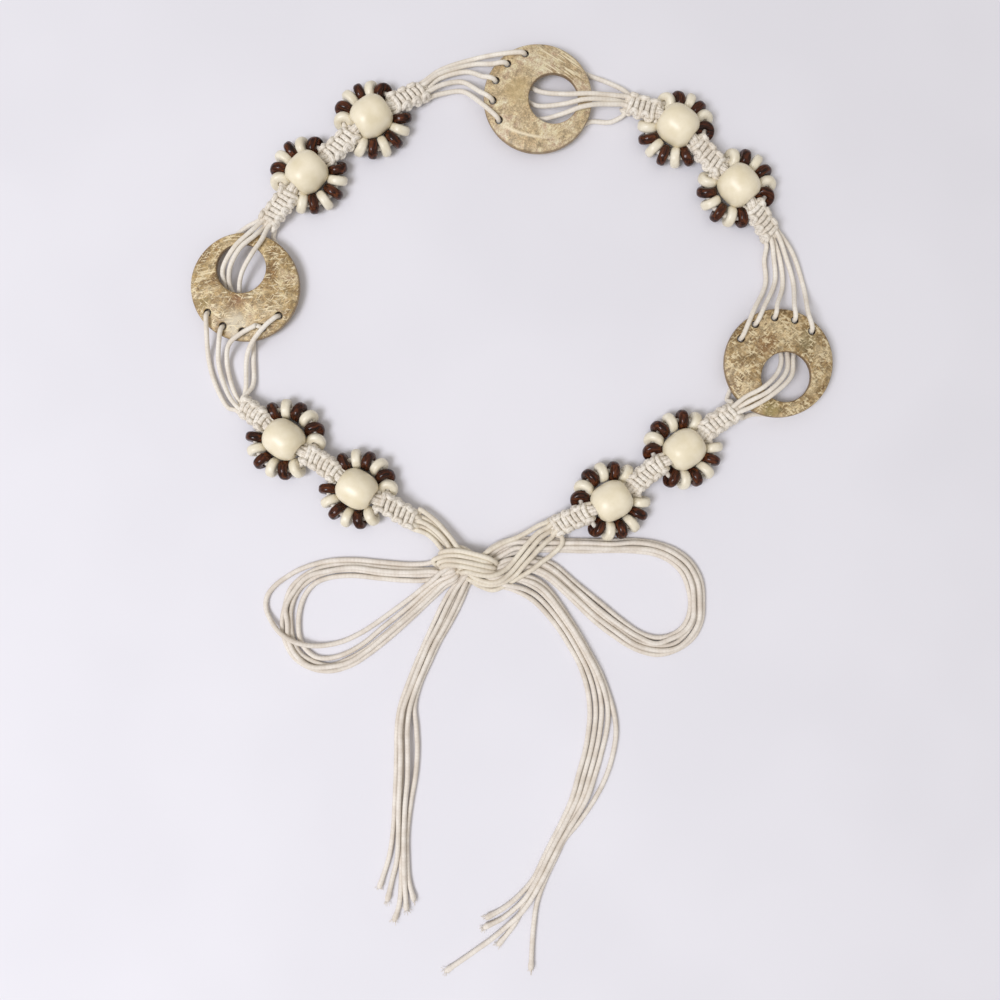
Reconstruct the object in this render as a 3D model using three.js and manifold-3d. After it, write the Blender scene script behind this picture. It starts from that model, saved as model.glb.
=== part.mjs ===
// Coconut shell belt, lying on a table with its cord ends tied in a bow.
// Millimetres, +Z up, the table at z = 0.
//
// Five waxed cotton cords run the whole length. In every flower the three middle cords pass through
// the round bead, and the two outer ones each carry six small beads round it. Square-knot bars hold
// the flowers, and at each shell ring the five cords go down through its small holes and back over.

import * as THREE from 'three';
import { mergeVertices } from 'three/addons/utils/BufferGeometryUtils.js';
import Module from 'manifold-3d';

const wasm = await Module();
wasm.setup();

const GAP = 0.3;
const CORD_RADIUS = 1.2;
const BEAD_AXIS_HEIGHT = 9;
const BAR_END_HEIGHT = 4.3;
const RAISED_END_HEIGHT = 5.6;
const HIGH_END_HEIGHT = 7.4;

const SHELL = {
  radius: 25.2,
  taper: 0.5,
  thickness: 3.5,
  domeRise: 3,
  rimHeight: 3.1,
  eyeRadius: 11.5,
  smallHoleRadius: 2.05,
  smallHoleCircle: 20.9,
  smallHoleStep: 26,
  rimSides: 26,
  eyeSides: 16,
  smallHoleSides: 6,
};

const ROUND_BEAD = {
  radius: 9,
  waist: 2.8,
  shoulderRadius: 7.4,
  shoulder: 6.3,
  poleRadius: 3.1,
  pole: 8.6,
  sides: 12,
};

const SMALL_BEAD = {
  count: 6,
  radius: 4.6,
  halfThickness: 1.6,
  circle: 13.9,
  firstAngle: 31.5,
  step: 23.4,
  height: 4.7,
  sides: 10,
};

const BAR = {
  sides: 6,
  coreRadius: 2.5,
  neck: { width: 6.4, thickness: 4.4 },
  knot: { width: 10.8, thickness: 5.6 },
  dip: { width: 9.4, thickness: 4.8 },
  end: { width: 10.2, thickness: 4.6 },
  neckLength: 5.4,
  neckStart: 0.6,
  coreStop: 0.2,
  squareness: 0.85,
};

const BUNDLE = { width: 8, thickness: 4.2, sides: 8 };
const LEAD = { width: 10, thickness: 3.2, sides: 8, squareness: 0.8 };

// The plan below was measured from above this point of the table, so whatever stands higher than
// the table was seen a little further out than it is.
const EYE = { x: -6, y: -83, height: 430 };

// Puts the part's origin under the middle of its box.
const PLAN_SHIFT = new THREE.Vector3(0.5, -1.6, 0);

const COLOURS = {
  shell: { color: '#9a7b4f', roughness: 0.55 },
  cream: { color: '#e9dfc4', roughness: 0.45 },
  brown: { color: '#4a2218', roughness: 0.35 },
  cotton: { color: '#e6dccb', roughness: 0.85 },
};

const degrees = (angle) => THREE.MathUtils.degToRad(angle);

function seen(x, y, z) {
  const inward = 1 - z / EYE.height;
  return new THREE.Vector3(EYE.x + (x - EYE.x) * inward, EYE.y + (y - EYE.y) * inward, z);
}

const route = (points) => points.map(([x, y, z]) => seen(x, y, z));

// Round beads in the order of the belt, from the left end of the tie to the right one.
const BEADS = [
  seen(-73.3, -77.8, BEAD_AXIS_HEIGHT),
  seen(-107.6, -54.5, BEAD_AXIS_HEIGHT),
  seen(-96.8, 71.0, BEAD_AXIS_HEIGHT),
  seen(-66.5, 97.3, BEAD_AXIS_HEIGHT),
  seen(77.6, 93.1, BEAD_AXIS_HEIGHT),
  seen(106.2, 64.9, BEAD_AXIS_HEIGHT),
  seen(80.6, -59.2, BEAD_AXIS_HEIGHT),
  seen(46.5, -83.4, BEAD_AXIS_HEIGHT),
];

// The low ends of the bars, where the five cords come out side by side.
const BAR_ENDS = {
  leadLeft: seen(-46.1, -92.6, BAR_END_HEIGHT),
  leftBelow: seen(-126.9, -38.5, BAR_END_HEIGHT),
  leftAbove: seen(-115.2, 47.5, RAISED_END_HEIGHT),
  topBefore: seen(-41.8, 109.5, BAR_END_HEIGHT),
  topAfter: seen(54.5, 103.4, BAR_END_HEIGHT),
  rightAbove: seen(121.7, 41.4, BAR_END_HEIGHT),
  rightBelow: seen(104.2, -41.0, HIGH_END_HEIGHT),
  leadRight: seen(19.2, -96.0, BAR_END_HEIGHT),
};

// The belt as one chain of stations: a bar runs from each one to the next where `bar` is set.
const CHAIN = [
  { at: BAR_ENDS.leadLeft, bar: true },
  { at: BEADS[0], bead: 1, bar: true },
  { at: BEADS[1], bead: 2, bar: true },
  { at: BAR_ENDS.leftBelow, bar: false },
  { at: BAR_ENDS.leftAbove, bar: true },
  { at: BEADS[2], bead: 3, bar: true },
  { at: BEADS[3], bead: 4, bar: true },
  { at: BAR_ENDS.topBefore, bar: false },
  { at: BAR_ENDS.topAfter, bar: true },
  { at: BEADS[4], bead: 5, bar: true },
  { at: BEADS[5], bead: 6, bar: true },
  { at: BAR_ENDS.rightAbove, bar: false },
  { at: BAR_ENDS.rightBelow, bar: true },
  { at: BEADS[6], bead: 7, bar: true },
  { at: BEADS[7], bead: 8, bar: true },
  { at: BAR_ENDS.leadRight, bar: false },
];

const HOLE_HEIGHT = SHELL.rimHeight + SHELL.thickness / 2;

// Each ring's middle, where its eye lies from there, and the row of small holes in the order of the
// cords. `toward` and `away` are the bar ends on the side of the small holes and on the other side.
const RINGS = {
  left: {
    centre: seen(-125.5, 16.9, HOLE_HEIGHT),
    eyeAngle: 99.5,
    eyeOffset: 8.2,
    firstHoleAngle: 215.5,
    holeTurn: 1,
    toward: BAR_ENDS.leftBelow,
    away: BAR_ENDS.leftAbove,
  },
  top: {
    centre: seen(11.75, 105.3, HOLE_HEIGHT),
    eyeAngle: -7.6,
    eyeOffset: 7.2,
    firstHoleAngle: 106.5,
    holeTurn: 1,
    toward: BAR_ENDS.topBefore,
    away: BAR_ENDS.topAfter,
  },
  right: {
    centre: seen(124.6, -18.8, HOLE_HEIGHT),
    eyeAngle: -66.8,
    eyeOffset: 7.2,
    firstHoleAngle: 148,
    holeTurn: -1,
    toward: BAR_ENDS.rightAbove,
    away: BAR_ENDS.rightBelow,
  },
};

// The five cords at each ring. `before` runs from the bar onto the rim, `hole` is the small hole the
// cord goes down (none where it stays under the rim), and `after` runs from under the shell, up
// through the eye and over the far rim, or under it, to the next bar.
const RING_CORDS = {
  left: [
    {
      before: [[-136, -38.5, 2.4], [-143, -20, 1.6], [-144.2, -2.5, 8.3]],
      hole: 0,
      after: [[-143.5, 20, 1.5], [-138, 34, 1.5], [-130, 41.5, 1.4], [-123.5, 46.5, 2.4]],
    },
    {
      before: [[-133, -35.5, 4.6], [-138.4, -17, 2.4], [-137.8, -6.4, 8.3]],
      hole: 1,
      after: [[-134.6, 15.4, 2.3], [-136.4, 25, 6.8], [-131, 35.6, 10.0], [-122.5, 43.4, 8.7]],
    },
    {
      before: [[-130, -33, 3.2], [-134, -16, 2.8], [-131.5, -8.8, 8.3], [-124.5, -5, 9.3]],
      hole: 3,
      after: [[-124.4, 5, 2.3], [-132.4, 16.4, 3.2], [-133.2, 25, 7.2], [-128, 35, 10.2],
        [-119.6, 42.2, 8.7]],
    },
    {
      before: [[-121.6, -30, 2.0], [-121.6, -17, 1.4], [-122, -7, 1.35]],
      hole: null,
      after: [[-125, 4, 1.4], [-127.6, 13, 3.4], [-127.6, 23, 7.6], [-122.6, 33, 10.3],
        [-116.8, 41.2, 8.7]],
    },
    {
      before: [[-124.6, -31, 3.2], [-125.0, -16, 3.6], [-121.8, -8.8, 8.4], [-115.6, -0.6, 9.5]],
      hole: 4,
      after: [[-106, 18, 1.5], [-107.5, 31, 1.5], [-112.5, 40, 1.4], [-111.6, 44.5, 2.4]],
    },
  ],
  top: [
    {
      before: [[-34, 118.4, 2.4], [-18, 123.8, 2.2], [-4.5, 126.6, 8.3]],
      hole: 0,
      after: [[22, 126.5, 1.5], [33.5, 117.6, 1.4], [44, 113.2, 1.6]],
    },
    {
      before: [[-35, 116.6, 4.4], [-19, 121.4, 2.8], [-9.4, 122.4, 8.3]],
      hole: 1,
      after: [[6, 112.6, 2.8], [17, 108.6, 6.6], [30.5, 108, 9.9], [41, 107.6, 8.2]],
    },
    {
      before: [[-35, 114.4, 3.0], [-22, 117.6, 3.0], [-13.6, 116.0, 8.3]],
      hole: 2,
      after: [[3, 107, 2.4], [13, 103.2, 5.4], [29.5, 104.4, 9.9], [41, 105.0, 8.2]],
    },
    {
      before: [[-33, 111.6, 4.2], [-24, 112.8, 2.8], [-15.2, 107.8, 8.3]],
      hole: 3,
      after: [[3, 97.6, 2.4], [13.6, 97, 4.6], [28.5, 100.8, 9.9], [40, 102.4, 8.2]],
    },
    {
      before: [[-33, 107.8, 2.4], [-24, 109, 2.0], [-15.0, 101.8, 8.3]],
      hole: 4,
      after: [[12, 88, 1.5], [28, 90, 1.5], [36.5, 94.2, 1.4], [46, 94.8, 1.8]],
    },
  ],
  right: [
    {
      before: [[118.2, 31, 2.4], [118.6, 18, 2.0], [112.2, 5.0, 8.3]],
      hole: 0,
      after: [[103.5, -18, 1.5], [102.8, -29, 1.4], [100.4, -36, 2.6]],
    },
    {
      before: [[121.8, 33, 4.2], [122.8, 20, 2.8], [118, 7.4, 8.3]],
      hole: 1,
      after: [[119, -6, 2.4], [125.2, -14, 4.2], [125, -22, 7.6], [118, -30, 10.4], [107.6, -35.6, 9.0]],
    },
    {
      before: [[124.8, 32, 3.0], [126.6, 18, 2.8], [124.6, 8.6, 8.3]],
      hole: 2,
      after: [[127, -6, 2.6], [129, -14.5, 4.4], [128.8, -22.5, 7.6], [120.5, -31.8, 10.4],
        [109.2, -38, 9.0]],
    },
    {
      before: [[127.8, 32, 4.2], [131.4, 19, 2.8], [132.4, 8, 8.3]],
      hole: 3,
      after: [[133, -8, 2.6], [132.4, -16, 4.6], [131.4, -24.5, 7.8], [122.8, -33.8, 10.4],
        [110.6, -40.4, 9.0]],
    },
    {
      before: [[131, 32.6, 2.4], [136.2, 17, 2.0], [139, 4.6, 8.3]],
      hole: 4,
      after: [[145, -18, 1.5], [141, -36, 1.5], [126, -42.5, 1.4], [112, -44.2, 1.4],
        [107.4, -46, 3.4]],
    },
  ],
};

// Middle lines of the cord bundles at the bow, from the bar or the knot outwards.
const LEADS = {
  left: [[-46.1, -92.6, 4.3], [-38.5, -97.0, 3.6], [-31.5, -103.0, 4.2], [-24, -110, 5]],
  right: [[19.2, -96.0, 4.3], [12.5, -103.4, 6.2], [4.5, -110.8, 6.4], [-4, -116, 5.8], [-12, -118, 5]],
};

const TIE_LOOPS = {
  left: [
    [-25, -113.6, 3], [-33, -114.8, 2.3], [-44, -116.4, 2.2], [-60, -115.9, 2.2], [-75, -114.6, 2.2],
    [-86, -115.6, 2.2], [-95, -119, 2.2], [-101.5, -125, 2.2], [-104.6, -133, 2.2],
    [-105.4, -142, 2.2], [-103.6, -150.5, 2.2], [-98.5, -157, 2.2], [-90.5, -160.2, 2.2],
    [-81.5, -159.6, 2.2], [-73, -156, 2.2], [-64, -149.6, 2.2], [-55, -142, 2.2],
    [-46.5, -133.6, 2.2], [-38.6, -125.8, 2.2], [-31.4, -119.6, 2.6], [-25, -115.6, 3.2],
  ],
  right: [
    [-12, -110.5, 3], [-4, -107, 2.3], [6, -104.9, 2.2], [20, -105.4, 2.2], [36, -106.1, 2.2],
    [52, -106.1, 2.2], [63, -106.6, 2.2], [72, -109, 2.2], [79.5, -114, 2.2], [84.4, -121.5, 2.2],
    [86.6, -131, 2.2], [84.4, -141, 2.2], [77.6, -148.4, 2.2], [68, -151.4, 2.2], [58.4, -150, 2.2],
    [49, -145, 2.2], [40, -138, 2.2], [30, -129, 2.2], [20, -120.6, 2.2], [10.5, -114.8, 2.2],
    [1, -114.0, 2.2], [-8, -116, 2.6],
  ],
};

const TIE_TAILS = {
  left: [
    [-20.8, -116, 3.4], [-23.6, -122.4, 2.4], [-27.8, -130.6, 2.2], [-33.6, -141, 2.2],
    [-39, -152, 2.2], [-44.4, -163, 2.2], [-48.8, -174, 2.2], [-51, -185, 2.2], [-51, -197, 2.2],
    [-50.8, -209, 2.2], [-51.4, -221, 2.2], [-52.4, -233, 2.2], [-53.4, -245, 2.2],
    [-54.6, -256, 2.2], [-55.4, -267, 2.2], [-55.2, -280, 2.2],
  ],
  right: [
    [-12, -119, 3.4], [-3, -121.8, 2.4], [6, -125.4, 2.2], [14.6, -132, 2.2], [22.6, -140.6, 2.2],
    [30, -150.6, 2.2], [36, -161.6, 2.2], [39.8, -173.4, 2.2], [41, -186, 2.2], [39.4, -198.6, 2.2],
    [35, -211, 2.2], [29, -223, 2.2], [22.6, -235, 2.2], [16, -247, 2.2], [9, -258.6, 2.2],
    [1, -269.4, 2.2], [-8.4, -279.6, 2.2], [-19, -290, 2.2], [-30, -302, 2.2],
  ],
};

// The knot's outline, section by section from left to right.
const KNOT_SECTIONS = [
  { x: -37, yLow: -113.6, yHigh: -110.2, zLow: 2.0, zHigh: 6.0 },
  { x: -33, yLow: -121.4, yHigh: -108.0, zLow: 0.4, zHigh: 7.6 },
  { x: -27, yLow: -123.6, yHigh: -105.4, zLow: 0.1, zHigh: 9.2 },
  { x: -20, yLow: -124.6, yHigh: -105.8, zLow: 0.1, zHigh: 10.2 },
  { x: -13, yLow: -125.4, yHigh: -106.4, zLow: 0.1, zHigh: 9.8 },
  { x: -6, yLow: -125.4, yHigh: -107.4, zLow: 0.1, zHigh: 8.4 },
  { x: -1.5, yLow: -124.0, yHigh: -111.0, zLow: 0.6, zHigh: 6.6 },
];
const KNOT_SIDES = 10;
const KNOT_CLEARANCE = 0.45;
const KNOT_SQUARENESS = 0.8;

const belt = new THREE.Group();
belt.position.copy(PLAN_SHIFT);

function signedVolume(geometry) {
  const position = geometry.getAttribute('position');
  const index = geometry.getIndex();
  const corner = [new THREE.Vector3(), new THREE.Vector3(), new THREE.Vector3()];
  let volume = 0;
  for (let i = 0; i < index.count; i += 3) {
    corner.forEach((point, k) => point.fromBufferAttribute(position, index.getX(i + k)));
    volume += corner[0].dot(corner[1].cross(corner[2])) / 6;
  }
  return volume;
}

// A closed body through rings of points that all have the same count, with a flat cap at each end.
function loft(rings) {
  const sides = rings[0].length;
  const positions = rings.flat().flatMap((point) => [point.x, point.y, point.z]);
  const faces = [];
  for (let ring = 0; ring < rings.length - 1; ring += 1) {
    for (let side = 0; side < sides; side += 1) {
      const a = ring * sides + side;
      const b = ring * sides + ((side + 1) % sides);
      faces.push(a, b, b + sides, a, b + sides, a + sides);
    }
  }
  const last = (rings.length - 1) * sides;
  for (let side = 1; side < sides - 1; side += 1) {
    faces.push(0, side + 1, side);
    faces.push(last, last + side, last + side + 1);
  }
  const geometry = new THREE.BufferGeometry();
  geometry.setAttribute('position', new THREE.Float32BufferAttribute(positions, 3));
  geometry.setIndex(faces);
  if (signedVolume(geometry) < 0) {
    geometry.setIndex(faces.map((_, i) => faces[i - (i % 3) + (2 - (i % 3))]));
  }
  return geometry;
}

// Points round an upright oval: `across` is the level direction across it and `up` the other one.
function oval(centre, across, up, width, thickness, sides, squareness = 1) {
  const round = (value) => Math.sign(value) * Math.abs(value) ** squareness;
  return Array.from({ length: sides }, (_, i) => {
    const angle = (2 * Math.PI * (i + 0.5)) / sides;
    return centre.clone()
      .addScaledVector(across, (width / 2) * round(Math.cos(angle)))
      .addScaledVector(up, (thickness / 2) * round(Math.sin(angle)));
  });
}

// Directions along a line of points: forward at each point, and across and up from it.
function frames(points) {
  return points.map((point, i) => {
    const before = points[Math.max(i - 1, 0)];
    const after = points[Math.min(i + 1, points.length - 1)];
    const forward = after.clone().sub(before).normalize();
    const across = new THREE.Vector3(0, 0, 1).cross(forward).normalize();
    return { forward, across, up: forward.clone().cross(across) };
  });
}

// A thin cord through exactly these points, turned as little as possible from one to the next.
function cordThrough(points) {
  const turns = frames(points).map((frame) => frame.forward);
  let across = new THREE.Vector3(0, 0, 1).cross(turns[0]).normalize();
  const rings = points.map((point, i) => {
    across = across.clone().addScaledVector(turns[i], -across.dot(turns[i])).normalize();
    const up = turns[i].clone().cross(across);
    return oval(point, across, up, 2 * CORD_RADIUS, 2 * CORD_RADIUS, CORD_SIDES);
  });
  return loft(rings);
}

// A flat bundle of cords, the same section all along a smooth curve.
function bundleAlong(points, steps) {
  const half = new THREE.Vector2(BUNDLE.thickness / 2, BUNDLE.width / 2);
  const outline = Array.from({ length: BUNDLE.sides }, (_, i) => {
    const angle = (2 * Math.PI * (i + 0.5)) / BUNDLE.sides;
    return new THREE.Vector2(half.x * Math.cos(angle), half.y * Math.sin(angle));
  });
  const curve = new THREE.CatmullRomCurve3(points, false, 'centripetal');
  return new THREE.ExtrudeGeometry(new THREE.Shape(outline), { steps, extrudePath: curve });
}

function toSolid(geometry) {
  const bare = geometry.clone();
  bare.deleteAttribute('normal');
  bare.deleteAttribute('uv');
  const merged = mergeVertices(bare, 1e-4);
  return new wasm.Manifold(new wasm.Mesh({
    numProp: 3,
    vertProperties: new Float32Array(merged.getAttribute('position').array),
    triVerts: new Uint32Array(merged.getIndex().array),
  }));
}

function toGeometry(solid) {
  const mesh = solid.getMesh();
  const geometry = new THREE.BufferGeometry();
  geometry.setAttribute('position', new THREE.BufferAttribute(mesh.vertProperties, 3));
  geometry.setIndex(new THREE.BufferAttribute(mesh.triVerts, 1));
  return geometry;
}

function add(name, geometry, finish) {
  const mesh = new THREE.Mesh(geometry, new THREE.MeshStandardMaterial({ ...finish, metalness: 0 }));
  mesh.name = name;
  belt.add(mesh);
  return mesh;
}

// Rings of coconut shell: a shallow dome with a large eye off its middle and a row of small holes.
function polygon(radius, sides, x = 0, y = 0) {
  return Array.from({ length: sides }, (_, i) => {
    const angle = (2 * Math.PI * i) / sides;
    return new THREE.Vector2(x + radius * Math.cos(angle), y + radius * Math.sin(angle));
  });
}

function holeSpots(ring) {
  return Array.from({ length: 5 }, (_, i) => {
    const angle = degrees(ring.firstHoleAngle + ring.holeTurn * SHELL.smallHoleStep * i);
    return new THREE.Vector2(Math.cos(angle), Math.sin(angle)).multiplyScalar(SHELL.smallHoleCircle);
  });
}

function domeHeight(radius) {
  return SHELL.domeRise * (1 - (radius / SHELL.radius) ** 2);
}

function shellRing(ring) {
  const shape = new THREE.Shape(polygon(SHELL.radius, SHELL.rimSides));
  const turn = degrees(ring.eyeAngle);
  const eye = new THREE.Vector2(Math.cos(turn), Math.sin(turn)).multiplyScalar(ring.eyeOffset);
  shape.holes.push(new THREE.Path(polygon(SHELL.eyeRadius, SHELL.eyeSides, eye.x, eye.y).reverse()));
  holeSpots(ring).forEach((spot) => {
    const outline = polygon(SHELL.smallHoleRadius, SHELL.smallHoleSides, spot.x, spot.y);
    shape.holes.push(new THREE.Path(outline.reverse()));
  });
  const geometry = new THREE.ExtrudeGeometry(shape, { depth: SHELL.thickness, bevelEnabled: false });
  const position = geometry.getAttribute('position');
  for (let i = 0; i < position.count; i += 1) {
    const x = position.getX(i);
    const y = position.getY(i);
    const radius = Math.hypot(x, y);
    const top = position.getZ(i) > SHELL.thickness / 2;
    const onRim = radius > SHELL.radius - SHELL.taper / 2;
    const inward = top && onRim ? 1 - SHELL.taper / SHELL.radius : 1;
    position.setXYZ(i, x * inward, y * inward, position.getZ(i) + SHELL.rimHeight + domeHeight(radius));
  }
  return geometry;
}

Object.entries(RINGS).forEach(([side, ring]) => {
  const mesh = add(`shell_ring_${side}`, shellRing(ring), COLOURS.shell);
  mesh.position.set(ring.centre.x, ring.centre.y, 0);
});

// Cords at the rings: five of them, gathered at the bar on each side.
const HUB = {
  width: 10,
  thickness: 4.4,
  length: 2.6,
  cordStart: 1.7,
  slotWidth: 1.9,
  slotRise: 1.1,
  sides: 6,
  squareness: 0.6,
};
const CORD_SIDES = 5;
const HOLE_PASS = [9.1, 2.0];

// The thick gathered end of the five cords, against the end of a bar.
function hub(end, inward) {
  const across = new THREE.Vector3(0, 0, 1).cross(inward).normalize();
  const up = new THREE.Vector3(0, 0, 1);
  const near = end.clone().addScaledVector(inward, GAP);
  const far = near.clone().addScaledVector(inward, HUB.length);
  const section = [across, up, HUB.width, HUB.thickness, HUB.sides, HUB.squareness];
  return loft([near, far].map((centre) => oval(centre, ...section)));
}

// Slots run from -2 to 2 across the hub, every other one a little higher.
function hubSlot(end, inward, slot) {
  const up = new THREE.Vector3(0, 0, 1);
  const across = up.clone().cross(inward).normalize();
  return end.clone()
    .addScaledVector(inward, GAP + HUB.cordStart)
    .addScaledVector(across, slot * HUB.slotWidth)
    .addScaledVector(up, Math.abs(slot) === 1 ? HUB.slotRise : -HUB.slotRise);
}

// A cord on the rim goes on to above its small hole, and straight down it.
function throughHole(ring, index) {
  const spot = holeSpots(ring)[index];
  return HOLE_PASS.map((z) => new THREE.Vector3(ring.centre.x + spot.x, ring.centre.y + spot.y, z));
}

// The level direction in which the belt runs on from a bar's low end.
function barDirectionAt(end) {
  const station = CHAIN.findIndex((item) => item.at === end);
  const neighbour = CHAIN[station].bar ? CHAIN[station + 1] : CHAIN[station - 1];
  const away = end.clone().sub(neighbour.at).setZ(0);
  return away.normalize();
}

function ringCords(side) {
  const ring = RINGS[side];
  const startWay = barDirectionAt(ring.toward);
  const finishWay = barDirectionAt(ring.away);
  const slots = side === 'right' ? [-2, -1, 0, 1, 2] : [2, 1, 0, -1, -2];
  let cords = toSolid(hub(ring.toward, startWay)).add(toSolid(hub(ring.away, finishWay)));
  RING_CORDS[side].forEach((cord, i) => {
    const down = cord.hole === null ? [] : throughHole(ring, cord.hole);
    const points = [
      hubSlot(ring.toward, startWay, slots[i]),
      ...route(cord.before),
      ...down,
      ...route(cord.after),
      hubSlot(ring.away, finishWay, -slots[i]),
    ];
    cords = cords.add(toSolid(cordThrough(points)));
  });
  return toGeometry(cords);
}

Object.keys(RINGS).forEach((side) => {
  add(`ring_cords_${side}`, ringCords(side), COLOURS.cotton);
});

// Round beads and the two half wreaths of small beads round each one.
function unitTo(from, to) {
  return to.clone().sub(from).setZ(0).normalize();
}

function beadDirection(station) {
  const here = CHAIN[station].at;
  const ahead = unitTo(here, CHAIN[station + 1].at);
  const behind = unitTo(here, CHAIN[station - 1].at);
  return ahead.sub(behind).normalize();
}

function roundBead() {
  const facet = Math.cos(Math.PI / ROUND_BEAD.sides);
  const profile = [
    [ROUND_BEAD.poleRadius, -ROUND_BEAD.pole],
    [ROUND_BEAD.shoulderRadius, -ROUND_BEAD.shoulder],
    [ROUND_BEAD.radius / facet, -ROUND_BEAD.waist],
    [ROUND_BEAD.radius / facet, ROUND_BEAD.waist],
    [ROUND_BEAD.shoulderRadius, ROUND_BEAD.shoulder],
    [ROUND_BEAD.poleRadius, ROUND_BEAD.pole],
    [ROUND_BEAD.poleRadius, -ROUND_BEAD.pole],
  ].map(([radius, along]) => new THREE.Vector2(radius, along));
  const geometry = new THREE.LatheGeometry(profile, ROUND_BEAD.sides);
  geometry.rotateY(Math.PI / ROUND_BEAD.sides);
  return geometry;
}

// Where the cord of a half wreath ends, below the neck of the bar.
const STUB = { along: 11.6, aside: 3.1, lift: -4.3, turn: degrees(30), width: 2 };

// Half a wreath as one body: the cord from one bar, six discs standing on edge, and the cord to the
// next bar. Local x runs along the belt, y to the side and z up, from the round bead's middle.
function halfWreath(hand) {
  const lift = SMALL_BEAD.height - BEAD_AXIS_HEIGHT;
  const at = (angle, slide, radius) => {
    const out = new THREE.Vector3(-Math.cos(degrees(angle)), hand * Math.sin(degrees(angle)), 0);
    const ahead = new THREE.Vector3(Math.sin(degrees(angle)), hand * Math.cos(degrees(angle)), 0);
    const centre = out.clone().multiplyScalar(SMALL_BEAD.circle).addScaledVector(ahead, slide);
    centre.z = lift;
    const up = new THREE.Vector3(0, 0, 1);
    return oval(centre, out, up, 2 * radius, 2 * radius, SMALL_BEAD.sides);
  };
  const stub = (sign) => {
    const centre = new THREE.Vector3(sign * STUB.along, hand * STUB.aside, STUB.lift);
    const out = new THREE.Vector3(sign * Math.cos(STUB.turn), -hand * Math.sin(STUB.turn), 0);
    const up = new THREE.Vector3(0, 0, 1);
    return oval(centre, out, up, STUB.width, STUB.width, SMALL_BEAD.sides);
  };
  const rings = [stub(-1)];
  for (let i = 0; i < SMALL_BEAD.count; i += 1) {
    const angle = SMALL_BEAD.firstAngle + SMALL_BEAD.step * i;
    rings.push(at(angle, -SMALL_BEAD.halfThickness, SMALL_BEAD.radius));
    rings.push(at(angle, SMALL_BEAD.halfThickness, SMALL_BEAD.radius));
    const last = i === SMALL_BEAD.count - 1;
    if (!last) rings.push(at(angle + SMALL_BEAD.step / 2, 0, CORD_RADIUS));
  }
  rings.push(stub(1));
  return loft(rings);
}

CHAIN.forEach((station, i) => {
  if (!station.bead) return;
  const ahead = beadDirection(i);
  const heading = Math.atan2(ahead.y, ahead.x);
  const bead = add(`round_bead_${station.bead}`, roundBead(), COLOURS.cream);
  bead.rotation.set(0, 0, heading - Math.PI / 2);
  bead.position.copy(station.at);
  [['outer', 1], ['inner', -1]].forEach(([where, hand]) => {
    const wreath = add(`bead_wreath_${station.bead}_${where}`, halfWreath(hand), COLOURS.brown);
    wreath.rotation.set(0, 0, heading);
    wreath.position.copy(station.at);
  });
});

// Bars of square knots. Beside a bead a bar narrows to its neck and its core goes on into the bead.
function squareOff(line, way) {
  const turned = Math.sign(line.forward.dot(way));
  line.across = new THREE.Vector3(0, 0, 1).cross(way).multiplyScalar(turned);
  line.up = new THREE.Vector3(0, 0, 1);
}

function knotBar(from, to, name) {
  const start = { point: CHAIN[from].at, way: CHAIN[from].bead ? beadDirection(from) : null };
  const finish = { point: CHAIN[to].at, way: CHAIN[to].bead ? beadDirection(to).negate() : null };
  const stations = [];
  const beadEnd = ({ point, way }) => {
    const out = (distance) => point.clone().addScaledVector(way, distance);
    const round = { width: 2 * BAR.coreRadius, thickness: 2 * BAR.coreRadius };
    const seat = ROUND_BEAD.pole + GAP;
    return [
      { at: out(GAP / 2), ...round },
      { at: out(seat - BAR.coreStop), ...round },
      { at: out(seat + BAR.neckStart), ...BAR.neck },
    ];
  };
  const body = (end) => (end.way
    ? end.point.clone().addScaledVector(end.way, ROUND_BEAD.pole + BAR.neckLength)
    : end.point);
  const a = body(start);
  const b = body(finish);
  if (start.way) stations.push(...beadEnd(start));
  stations.push({ at: a, ...(start.way ? BAR.knot : BAR.end) });
  stations.push({ at: a.clone().lerp(b, 0.5), ...BAR.dip });
  stations.push({ at: b, ...(finish.way ? BAR.knot : BAR.end) });
  if (finish.way) stations.push(...beadEnd(finish).reverse());
  const lines = frames(stations.map((station) => station.at));
  if (!start.way) squareOff(lines[0], barDirectionAt(start.point));
  if (!finish.way) squareOff(lines[lines.length - 1], barDirectionAt(finish.point));
  const rings = stations.map((station, i) => oval(
    station.at,
    lines[i].across,
    lines[i].up,
    station.width,
    station.thickness,
    BAR.sides,
    BAR.squareness,
  ));
  add(name, loft(rings), COLOURS.cotton);
}

let barNumber = 0;
CHAIN.forEach((station, i) => {
  if (!station.bar) return;
  barNumber += 1;
  knotBar(i, i + 1, `knot_bar_${barNumber}`);
});

// The bow: its knot, and the bundles of five cords trimmed to the knot's outside.
function knotBody(grow) {
  const rings = KNOT_SECTIONS.map((section, i) => {
    const end = { 0: -1, [KNOT_SECTIONS.length - 1]: 1 }[i] ?? 0;
    const centre = new THREE.Vector3(
      section.x + end * grow,
      (section.yLow + section.yHigh) / 2,
      (section.zLow + section.zHigh) / 2,
    );
    return oval(
      centre,
      new THREE.Vector3(0, 1, 0),
      new THREE.Vector3(0, 0, 1),
      section.yHigh - section.yLow + 2 * grow,
      section.zHigh - section.zLow + 2 * grow,
      KNOT_SIDES,
      KNOT_SQUARENESS,
    );
  });
  return loft(rings);
}

const knotClearance = toSolid(knotBody(KNOT_CLEARANCE));

function trimmed(geometry) {
  return toGeometry(toSolid(geometry).subtract(knotClearance));
}

add('bow_knot', knotBody(0), COLOURS.cotton);

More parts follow.
